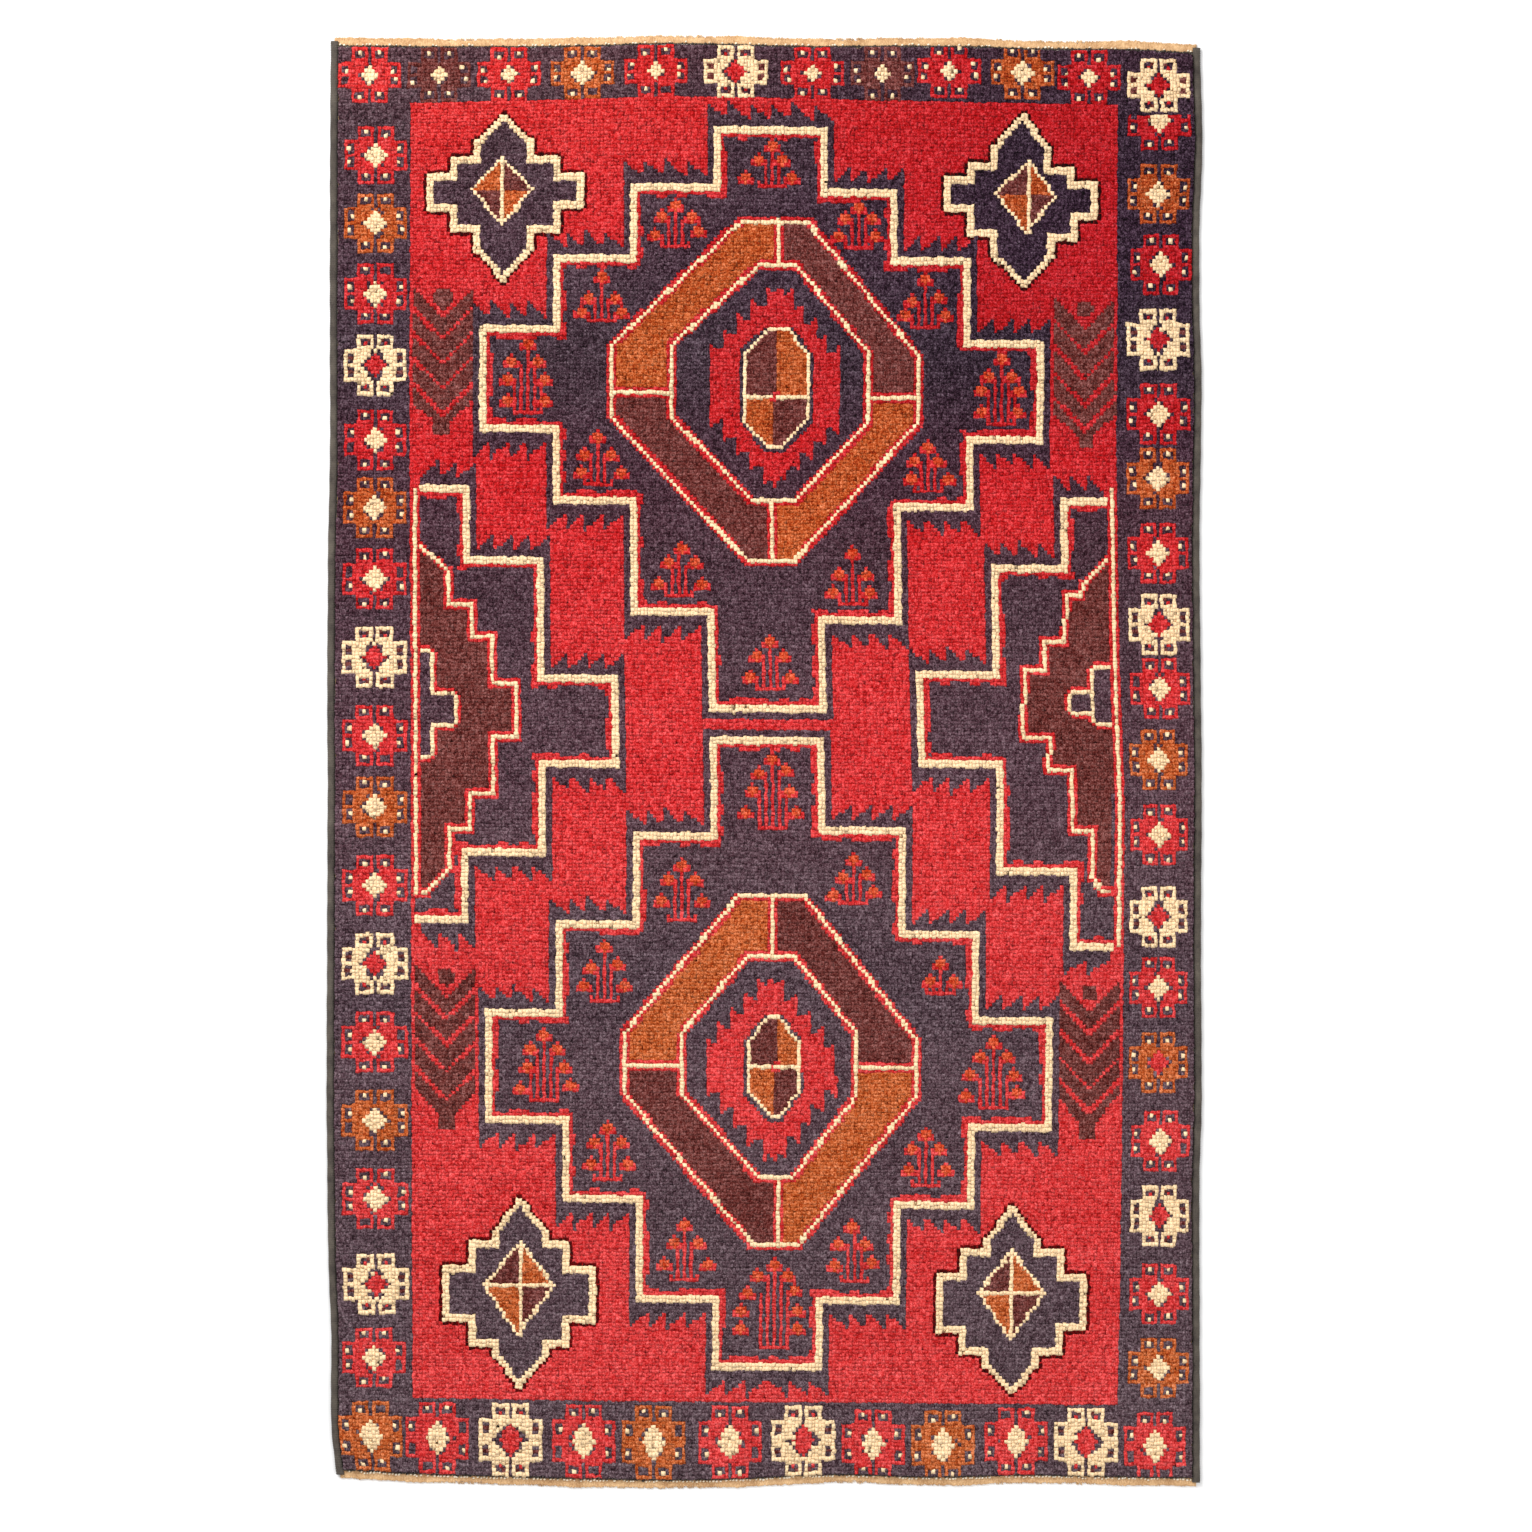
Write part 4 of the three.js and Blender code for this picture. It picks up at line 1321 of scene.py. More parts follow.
@dataclass(frozen=True)
class WoolFinish:
    """One dyed wool: its colour, how it is clipped, its painted fibre glints and root shade, and how
    strongly the bands of uneven dyeing and painted shade show on it.
    """

    yarn: Yarn
    slot: str
    colour: tuple[int, int, int]
    grain: float = 0.20
    root_shade: float = 0.45
    wash: float = 1.0
    sheen: float = 0.10
    spread: float = 0.0
    rise: float = 0.0
    fluff: float = 1.0

    def material(self, fibre: bpy.types.NodeTree, wash_group: bpy.types.NodeTree) -> bpy.types.Material:
        """The wool's material, mixed as the eye sees it and then turned into light.

        Args:
            fibre: the spun-wool group.
            wash_group: the group of bands from uneven dyeing and painted shade.

        Returns:
            The material.
        """
        made = bpy.data.materials.new(f"{self.yarn.name.lower()}_wool")
        made.use_nodes = True
        n = Nodes(made.node_tree)
        shader = made.node_tree.nodes["Principled BSDF"]
        shader.inputs["Base Color"].default_value = linear(self.colour)
        tone = n.add("ShaderNodeAttribute", attribute_name="knot_tone")
        tip = n.add("ShaderNodeAttribute", attribute_name="tip")
        wool = n.add("ShaderNodeGroup", node_tree=fibre)
        n.link(tone.outputs["Fac"], wool.inputs["Knot Tone"])
        n.link(tip.outputs["Fac"], wool.inputs["Tip"])
        wool.inputs["Grain"].default_value = self.grain
        wool.inputs["Root Shade"].default_value = self.root_shade
        # Bands along the rug, partly uneven dyeing and partly painted shade.
        washed = n.add("ShaderNodeGroup", node_tree=wash_group)
        seen = (*(part / 255 for part in self.colour), 1.0)
        colour = n.mixed(self.wash, seen, washed.outputs["Wash"], "ADD")
        colour = n.mixed(self.wash, colour, (0.5, 0.5, 0.5, 1.0), "SUBTRACT")
        # Painted fibre highlights and shadows, with the bands' streaks, added to the colour as grey.
        glint = n.maths("ADD", wool.outputs["Glint"], washed.outputs["Streak"])
        grey = n.add("ShaderNodeCombineColor")
        for socket in grey.inputs[:3]:
            n.link(glint, socket)
        colour = n.mixed(1.0, colour, grey.outputs[0], "ADD")
        # Multiplies in the painted shade of the roots and valleys.
        deep = n.add("ShaderNodeCombineColor")
        for socket in deep.inputs[:3]:
            n.link(wool.outputs["Depth"], socket)
        colour = n.mixed(1.0, colour, deep.outputs[0], "MULTIPLY")
        floor = n.mixed(1.0, colour, (0.012, 0.012, 0.012, 1.0), "LIGHTEN")
        light = n.add("ShaderNodeGamma")
        n.link(floor, light.inputs["Color"])
        light.inputs["Gamma"].default_value = 2.2
        n.link(light.outputs[0], shader.inputs["Base Color"])
        n.link(wool.outputs["Roughness"], shader.inputs["Roughness"])
        shader.inputs["Specular IOR Level"].default_value = 0.12
        shader.inputs["Sheen Weight"].default_value = self.sheen
        shader.inputs["Sheen Roughness"].default_value = 0.45
        shader.inputs["Sheen Tint"].default_value = linear(self.colour)
        bump = n.add("ShaderNodeBump")
        bump.inputs["Strength"].default_value = 0.4
        bump.inputs["Distance"].default_value = 0.0005
        n.link(wool.outputs["Height"], bump.inputs["Height"])
        n.link(bump.outputs[0], shader.inputs["Normal"])
        return made


WOOLS = (
    WoolFinish(Yarn.NAVY, "navy_pile", (94, 70, 77), grain=0.22),
    WoolFinish(Yarn.RED, "red_pile", (212, 60, 60), grain=0.21),
    WoolFinish(Yarn.CREAM, "cream_pile", (255, 219, 173), grain=0.12, root_shade=0.35, wash=0.3, spread=0.16,
               rise=0.0005, fluff=1.5),
    WoolFinish(Yarn.GOLD, "gold_pile", (190, 94, 50), grain=0.26, wash=0.6),
    WoolFinish(Yarn.BROWN, "brown_pile", (108, 56, 52), grain=0.22, wash=0.1),
    WoolFinish(Yarn.ORANGE, "red_pile", (210, 82, 50), grain=0.24, wash=0.5, fluff=1.2),
)


@dataclass(frozen=True)
class SpunFinish:
    """A spun yarn that isn't pile: undyed cotton and wool of the ends, or goat hair of the sides."""

    name: str
    slot: str
    colour: tuple[int, int, int]
    shadow: tuple[int, int, int]
    stretch: tuple[float, float, float]
    strength: float = 0.5

    def material(self) -> bpy.types.Material:
        """The yarn's material: streaks along the strand and broad patches, mixed between its colour and its
        darker shadow colour.
        """
        made = bpy.data.materials.new(self.name)
        made.use_nodes = True
        n = Nodes(made.node_tree)
        shader = made.node_tree.nodes["Principled BSDF"]
        shader.inputs["Base Color"].default_value = linear(self.colour)
        place = n.add("ShaderNodeTexCoord").outputs["Object"]
        strand = n.noise(n.stretched(place, self.stretch), 1.0, 4.0, 0.65)
        patch = n.noise(n.stretched(place, (60.0, 60.0, 60.0)), 1.0, 3.0, 0.6)
        mask = n.maths("ADD", n.maths("MULTIPLY", strand, 0.6), n.maths("MULTIPLY", patch, 0.4))
        factor = n.ranged(mask, 0.36, 0.64, 0.0, 1.0)
        n.link(n.mixed(factor, linear(self.shadow), linear(self.colour)), shader.inputs["Base Color"])
        n.link(n.ranged(strand, 0.3, 0.7, 0.75, 0.95), shader.inputs["Roughness"])
        shader.inputs["Specular IOR Level"].default_value = 0.2
        shader.inputs["Sheen Weight"].default_value = 0.1
        bump = n.add("ShaderNodeBump")
        bump.inputs["Strength"].default_value = self.strength
        bump.inputs["Distance"].default_value = 0.0004
        n.link(strand, bump.inputs["Height"])
        n.link(bump.outputs[0], shader.inputs["Normal"])
        return made


COTTON = SpunFinish("cotton_weave", "cotton_weave", (244, 204, 154), (172, 124, 80), (760.0, 330.0, 700.0))
WARP = SpunFinish("warp_ends", "cotton_weave", (242, 204, 152), (160, 112, 66), (900.0, 260.0, 800.0))
LOOP = SpunFinish("twined_loops", "cotton_weave", (255, 248, 230), (232, 208, 170), (1500.0, 1500.0, 1500.0))
GOAT = SpunFinish("goat_hair", "goat_hair", (104, 96, 86), (48, 41, 40), (1500.0, 900.0, 1300.0), 0.7)
INNER = SpunFinish("goat_hair_core", "goat_hair", (84, 76, 66), (44, 39, 35), (2200.0, 500.0, 1500.0), 0.6)
GROUND = SpunFinish("ground_weave", "cotton_weave", (206, 170, 124), (150, 112, 74), (900.0, 1900.0, 900.0))


# ---- pieces -----------------------------------------------------------------


@dataclass
class Piece:
    """A finished piece with what the frame needs to know of it."""

    thing: bpy.types.Object
    replaces: tuple[str, ...]
    slot: str

    def settle(self) -> None:
        """Hands the piece over to the frame and reports it."""
        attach(self.thing, BODY)
        if self.replaces:
            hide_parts(*self.replaces)
        mesh = self.thing.data
        LOG.info("%s: %d faces", self.thing.name, len(mesh.polygons))


def corners_of(geometry: list[object]) -> list[bmesh.types.BMVert]:
    """The vertices among what a bmesh operator gave back."""
    return [g for g in geometry if isinstance(g, bmesh.types.BMVert)]


def points_of(mesh: bpy.types.Mesh) -> np.ndarray:
    """A mesh's vertices as an array of rows x, y, z."""
    co = np.empty(len(mesh.vertices) * 3, np.float32)
    mesh.vertices.foreach_get("co", co)
    return co.reshape(-1, 3).astype(float)


def place_points(mesh: bpy.types.Mesh, points: np.ndarray) -> None:
    """Puts a mesh's vertices where an array says."""
    mesh.vertices.foreach_set("co", points.astype(np.float32).ravel())
    mesh.update()


def smooth(mesh: bpy.types.Mesh) -> None:
    """Shades every face of a mesh smoothly."""
    mesh.polygons.foreach_set("use_smooth", np.ones(len(mesh.polygons), bool))


def flat_map(mesh: bpy.types.Mesh) -> None:
    """Lays the mesh's upward faces over one map, and its sides and underside beside them.

    Args:
        mesh: the mesh, which gets the map.
    """
    layer = mesh.uv_layers.new(name="OFBake")
    count = len(mesh.loops)
    corner = np.empty(count, np.int32)
    mesh.loops.foreach_get("vertex_index", corner)
    points = points_of(mesh)[:, :2]
    low, high = points.min(0), points.max(0)
    uv = (points[corner] - low) / (high - low).max()
    up = np.empty(len(mesh.polygons) * 3, np.float32)
    mesh.polygons.foreach_get("normal", up)
    totals = np.empty(len(mesh.polygons), np.int32)
    mesh.polygons.foreach_get("loop_total", totals)
    upward = np.repeat(up.reshape(-1, 3)[:, 2] > 0.15, totals)
    uv[upward] = uv[upward] * 0.955 + 0.002
    uv[~upward] = uv[~upward] * np.array([0.03, 0.955]) + np.array([0.965, 0.002])
    layer.data.foreach_set("uv", uv.astype(np.float32).ravel())


def mark_points(mesh: bpy.types.Mesh, name: str, values: np.ndarray) -> None:
    """Writes one number for each vertex of a mesh, as a named attribute."""
    layer = mesh.attributes.new(name, "FLOAT", "POINT")
    layer.data.foreach_set("value", values.astype(np.float32))


class PileBlock:
    """A block of tufts of one yarn: a grid with its other knots cut out, raised and parted into tufts."""

    PART = 0.07
    TUFT = 0.0009

    def __init__(self, chart: Chart, finish: WoolFinish, material: bpy.types.Material) -> None:
        """Takes the chart it is part of, its wool and that wool's material."""
        self.chart, self.cloth, self.finish, self.material = chart, chart.cloth, finish, material

    def make(self, name: str, marks: np.ndarray) -> bpy.types.Object:
        """Makes the block.

        Args:
            name: the piece's name.
            marks: the knots it has, rows first, far row first.

        Returns:
            The piece.
        """
        loom, wool = self.cloth.loom, self.finish
        rows, knots = np.flatnonzero(marks.any(1)), np.flatnonzero(marks.any(0))
        far, near, left, right = rows[0], rows[-1] + 1, knots[0], knots[-1] + 1
        deep, wide = int(near - far), int(right - left)
        keep = marks[far:near, left:right][::-1].ravel()
        low = loom.pile_low.z
        high = loom.pile_high.z - 0.4 * self.TUFT - low
        bm = bmesh.new()
        bmesh.ops.create_grid(bm, x_segments=wide, y_segments=deep, size=0.5)
        others = [f for f, kept in zip(bm.faces[:], keep) if not kept]
        bmesh.ops.delete(bm, geom=others, context="FACES")
        middle = Matrix.Translation((left + wide / 2, -(far + deep / 2), 0))
        bmesh.ops.transform(bm, matrix=middle @ Matrix.Diagonal((wide, deep, 1, 1)), verts=bm.verts[:])
        raised = bmesh.ops.extrude_face_region(bm, geom=bm.faces[:])["geom"]
        tops = [g for g in raised if isinstance(g, bmesh.types.BMFace)]
        bmesh.ops.translate(bm, vec=(0, 0, 1), verts=corners_of(raised))
        part = self.PART * (0.55 if wool.spread else 1.0)
        bmesh.ops.inset_individual(bm, faces=tops, thickness=part, depth=1.0)
        mesh = bpy.data.meshes.new(name)
        bm.to_mesh(mesh)
        bm.free()
        points = points_of(mesh)
        i, j, level = points[:, 0], -points[:, 1], np.round(points[:, 2])
        tip = level > 1.5
        a = np.clip(i.astype(int), 0, loom.knots - 1)
        b = np.clip(j.astype(int), 0, loom.rows - 1)
        cloth = self.cloth
        size = 1 + np.where(self.chart.loose[b, a], -0.1, wool.spread)
        i = np.where(tip, a + 0.5 + (i - a - 0.5) * size + cloth.lean_i[b, a] * 0.09 * wool.fluff, i)
        lean = 0.14 + cloth.lean_j[b, a] * 0.12 * wool.fluff
        j = np.where(tip, b + 0.5 + (j - b - 0.5) * size + lean, j)
        x, y = cloth.floor(i, j)
        z = np.where(level < 0.5, low, low + high - 0.35 * self.TUFT)
        rise = np.clip(cloth.rise[b, a], -2, 2) * 0.00026 * wool.fluff + wool.rise
        z = np.where(tip, low + high + rise, z)
        place_points(mesh, np.stack([x, y, z], 1))
        # Star rim knots get a far lower tone: painted shade, which the material turns dark.
        tone = cloth.tone[b, a] - 5.0 * self.chart.shade[b, a]
        mark_points(mesh, "knot_tone", np.where(tip, tone, 0.5))
        # Tip is 1 on tuft tops, 0.9 in the valleys and 0 at the base; the material paints shade towards the
        # roots from it, partly the roots' own deeper colour.
        mark_points(mesh, "tip", np.where(tip, 1.0, np.where(level > 0.5, 0.9, 0.0)))
        smooth(mesh)
        flat_map(mesh)
        mesh.materials.append(self.material)
        made = bpy.data.objects.new(name, mesh)
        bpy.context.scene.collection.objects.link(made)
        return made

class Pile:
    """The whole pile: every motif's yarns, each as one piece or, where large, a few."""

    MOST_KNOTS = 12500
    REGIONS = ("border", "field", "far_medallion", "near_medallion", "left_half", "right_half",
               "far_left_star", "far_right_star", "near_left_star", "near_right_star",
               "far_left_tree", "far_right_tree", "near_left_tree", "near_right_tree")

    def __init__(self, chart: Chart, fibre: bpy.types.NodeTree, wash_group: bpy.types.NodeTree) -> None:
        """Takes the drawn chart and the shared shader groups."""
        self.chart = chart
        self.finishes = {w.yarn: w for w in WOOLS}
        self.materials = {w.yarn: w.material(fibre, wash_group) for w in WOOLS}

    def build(self) -> list[Piece]:
        """Makes the pieces of every motif."""
        chart, made = self.chart, []
        for region in self.REGIONS:
            own = [k for k, n in enumerate(chart.nodes) if n.startswith(region)]
            here = np.isin(chart.zone, own)
            stood = {chart.nodes[k]: chart.base[k] for k in own}
            for yarn, finish in self.finishes.items():
                marks = here & (chart.yarn == yarn)
                if not marks.any():
                    continue
                nodes = tuple(n for n, base in stood.items() if base == yarn)
                made += self._pieces(f"{region}_{yarn.name.lower()}", marks, finish, nodes)
        return made

    def _pieces(self, name: str, marks: np.ndarray, finish: WoolFinish,
                nodes: tuple[str, ...]) -> list[Piece]:
        """One yarn of one motif, split along the rug if it has too many knots for one piece.

        Args:
            name: the motif and yarn.
            marks: the knots.
            finish: their wool.
            nodes: the CAD nodes that they stand for.

        Returns:
            The pieces, far one first.
        """
        parts = math.ceil(marks.sum() / self.MOST_KNOTS)
        count = np.cumsum(marks.sum(1))
        cuts = [int(np.searchsorted(count, count[-1] * k / parts)) for k in range(1, parts)]
        block = PileBlock(self.chart, finish, self.materials[finish.yarn])
        made = []
        for number, rows in enumerate(np.split(np.arange(len(marks)), cuts)):
            part = np.zeros_like(marks)
            part[rows] = marks[rows]
            label = name if parts == 1 else f"{name}_{number + 1}"
            made.append(Piece(block.make(label, part), nodes, finish.slot))
        return made


class KnotBacks:
    """The back of the rug, where every knot shows as a flat bead of its own yarn."""

    HEIGHT = 0.0003

    def __init__(self, chart: Chart, materials: dict[Yarn, bpy.types.Material]) -> None:
        """Takes the chart and the wool materials."""
        self.chart, self.materials = chart, materials

    def build(self) -> list[Piece]:
        """Makes one piece for each yarn's backs."""
        chart, made = self.chart, []
        for wool in WOOLS:
            marks = chart.yarn == wool.yarn
            name = f"knot_backs_{wool.yarn.name.lower()}"
            bm = bmesh.new()
            loom = chart.loom
            bmesh.ops.create_grid(bm, x_segments=loom.knots, y_segments=loom.rows, size=0.5)
            keep = marks[::-1].ravel()
            bmesh.ops.delete(bm, geom=[f for f, k in zip(bm.faces[:], keep) if not k], context="FACES")
            bmesh.ops.reverse_faces(bm, faces=bm.faces[:])
            mesh = bpy.data.meshes.new(name)
            bm.to_mesh(mesh)
            bm.free()
            points = points_of(mesh)
            i, j = (points[:, 0] + 0.5) * loom.knots, (0.5 - points[:, 1]) * loom.rows
            x, y = chart.cloth.floor(i, j)
            place_points(mesh, np.stack([x, y, np.full(len(x), self.HEIGHT)], 1))
            mark_points(mesh, "knot_tone", np.full(len(x), 0.5))
            # Tip 0.8 gives the flat backs a little of the wool's painted root shade.
            mark_points(mesh, "tip", np.full(len(x), 0.8))
            mesh.materials.append(self.materials[wool.yarn])
            thing = bpy.data.objects.new(name, mesh)
            bpy.context.scene.collection.objects.link(thing)
            made.append(Piece(thing, (), wool.slot))
        return made


def linked(name: str, bm: bmesh.types.BMesh, material: bpy.types.Material) -> bpy.types.Object:
    """Turns a bmesh into an object in the scene.

    Args:
        name: the object's name.
        bm: its shape, which is freed.
        material: its finish.

    Returns:
        The object.
    """
    mesh = bpy.data.meshes.new(name)
    bm.to_mesh(mesh)
    bm.free()
    mesh.materials.append(material)
    made = bpy.data.objects.new(name, mesh)
    bpy.context.scene.collection.objects.link(made)
    return made


@dataclass
class Foundation:
    """The cotton ground cloth that carries the knots."""

    cloth: Cloth
    low: float = 0.0006
    high: float = 0.0024
    knots_per_face: int = 4

    def build(self) -> Piece:
        """Makes the cloth as one closed sheet."""
        loom = self.cloth.loom
        across, along = loom.knots // self.knots_per_face, loom.rows // self.knots_per_face
        bm = bmesh.new()
        bmesh.ops.create_grid(bm, x_segments=across, y_segments=along, size=0.5)
        raised = bmesh.ops.extrude_face_region(bm, geom=bm.faces[:])["geom"]
        bmesh.ops.translate(bm, vec=(0, 0, 1), verts=corners_of(raised))
        thing = linked("ground_cloth", bm, GROUND.material())
        points = points_of(thing.data)
        i, j = (points[:, 0] + 0.5) * loom.knots, (0.5 - points[:, 1]) * loom.rows
        x, y = self.cloth.floor(i, j, sway=False)
        z = np.where(points[:, 2] > 0.5, self.high, self.low)
        place_points(thing.data, np.stack([x, y, z], 1))
        smooth(thing.data)
        return Piece(thing, ("foundation_weave",), GROUND.slot)


@dataclass
class RugEnd:
    """One end of the rug: the flat-woven strip, the twined loops beside the pile and the warp ends."""

    cloth: Cloth
    edge: Edge
    weave: bpy.types.Material
    warp: bpy.types.Material
    loops: bpy.types.Material
    dark: bpy.types.Material
    strip_start: float = 0.5
    strip_rows: float = 2.05
    strip_thick: float = 0.0019
    cells_per_knot: int = 2
    strip_cells: int = 8

    def __post_init__(self) -> None:
        """Sets the names and the draws of this end."""
        self.word = self.edge.name.lower()
        self.rng = np.random.default_rng(SEED + (7 if self.edge is Edge.FAR else 8))

    def row(self, out: np.ndarray) -> np.ndarray:
        """Row numbers of places a number of rows out from the pile."""
        return -out if self.edge is Edge.FAR else self.cloth.loom.rows + out

    def strip(self) -> Piece:
        """The strip of weft-faced weave, with its ribs and ragged outer edge."""
        loom = self.cloth.loom
        bm = bmesh.new()
        cells = loom.knots * self.cells_per_knot
        bmesh.ops.create_grid(bm, x_segments=cells, y_segments=self.strip_cells, size=0.5)
        raised = bmesh.ops.extrude_face_region(bm, geom=bm.faces[:])["geom"]
        bmesh.ops.translate(bm, vec=(0, 0, 1), verts=corners_of(raised))
        thing = linked(f"end_weave_{self.word}", bm, self.weave)
        points = points_of(thing.data)
        i = (points[:, 0] + 0.5) * (loom.knots + 2.6) - 1.3
        share = 0.5 + points[:, 1] * (1 if self.edge is Edge.FAR else -1)
        out = self.strip_start + share * self.strip_rows
        cell = np.round(share * self.strip_cells)
        step = np.round((points[:, 0] + 0.5) * cells)
        ragged = self.rng.normal(0, 0.14, cells + 1)[step.astype(int)]
        slow = 0.22 * np.sin(i / 9.1) + 0.16 * np.sin(i / 3.7 + 1)
        out = out + (share ** 3) * (ragged + slow)
        x, y = self.cloth.floor(i, self.row(out), sway=False)
        over = 0.5 + 0.5 * np.cos(math.pi * (step + np.floor(cell / 2)))
        rib = 0.5 + 0.5 * np.cos(math.pi * cell)
        top = self.strip_thick * (0.72 + 0.30 * over * rib + 0.12 * rib)
        z = np.where(points[:, 2] > 0.5, top, 0.0002 + 0.0002 * (1 - over))
        place_points(thing.data, np.stack([x, y, z], 1))
        smooth(thing.data)
        return Piece(thing, (f"end_kilim_{self.word}",), COTTON.slot)

    def ends(self) -> Piece:
        """The short cut ends of the warps, in small broken bundles."""
        loom = self.cloth.loom
        bm = bmesh.new()
        per_bundle, start = 6, self.strip_start + self.strip_rows - 0.3
        for number in range(loom.knots * 2 + 2):
            i = -0.5 + number * 0.5
            bundle = number // per_bundle
            wave = 0.5 + 0.5 * math.sin(bundle * 2.4) * math.cos(bundle * 0.77)
            length = 0.0015 + 0.0016 * wave * self.rng.uniform(0.5, 1.0)
            if number % per_bundle == per_bundle - 1 and self.rng.random() < 0.75:
                length *= 0.35
            pull = (per_bundle / 2 - 0.5 - number % per_bundle) * 0.07
            x, y = self.cloth.floor(np.array([i + pull]), self.row(np.array([start])), sway=False)
            splay = self.rng.normal(0, 0.22) + pull * 1.5
            droop = -0.16 - self.rng.random() * 0.12
            way = self.edge.value
            aim = Vector((splay, way, droop)).normalized()
            turn = aim.to_track_quat("Z", "Y").to_matrix().to_4x4()
            middle = Vector((float(x[0]), float(y[0]), 0.0013)) + aim * (length / 2)
            middle.z = max(middle.z, 0.0009)
            bmesh.ops.create_cone(bm, cap_ends=True, segments=6, radius1=0.00062,
                                  radius2=0.00042, depth=length, matrix=Matrix.Translation(middle) @ turn)
        thing = linked(f"cut_warps_{self.word}", bm, self.warp)
        points = points_of(thing.data)
        points[:, 2] = np.maximum(points[:, 2], 0.0001)
        place_points(thing.data, points)
        smooth(thing.data)
        return Piece(thing, (f"warp_ends_{self.word}",), WARP.slot)

    def twining(self, name: str, chance: float, size: float, out: float, material: bpy.types.Material,
                slot: str) -> Piece:
        """A row of small loops along the first row of knots.

        Args:
            name: the piece's name without the end's.
            chance: how often a knot has a loop.
            size: size of a loop, 1 for the width of a knot.
            out: how far out from the pile the row lies, in rows.
            material: the loops' yarn.
            slot: that yarn's slot.

        Returns:
            The piece.
        """
        loom = self.cloth.loom
        bm = bmesh.new()
        for number in range(loom.knots):
            if self.rng.random() > chance:
                continue
            i = number + 0.5 + self.rng.normal(0, 0.12)
            j = self.row(np.array([out + self.rng.normal(0, 0.1)]))
            x, y = self.cloth.floor(np.array([i]), j, sway=False)
            grown = size * self.rng.uniform(0.75, 1.15)
            shape = Matrix.Diagonal((0.0014 * grown, 0.0011 * grown, 0.0010 * grown, 1))
            turn = Matrix.Rotation(self.rng.normal(0.5, 0.3), 4, "Z")
            place = Matrix.Translation((float(x[0]), float(y[0]), 0.0032))
            bmesh.ops.create_icosphere(bm, subdivisions=1, radius=1.0, matrix=place @ turn @ shape)
        thing = linked(f"{name}_{self.word}", bm, material)
        smooth(thing.data)
        return Piece(thing, (), slot)

    def build(self) -> list[Piece]:
        """Makes the four pieces of this end."""
        pale = 0.4 if self.edge is Edge.FAR else 0.8
        return [
            self.strip(),
            self.ends(),
            self.twining("dark_twining", 1.0, 1.35, 0.3, self.dark, GOAT.slot),
            self.twining("twined_loops", pale, 1.1, 0.8, self.loops, LOOP.slot),
        ]


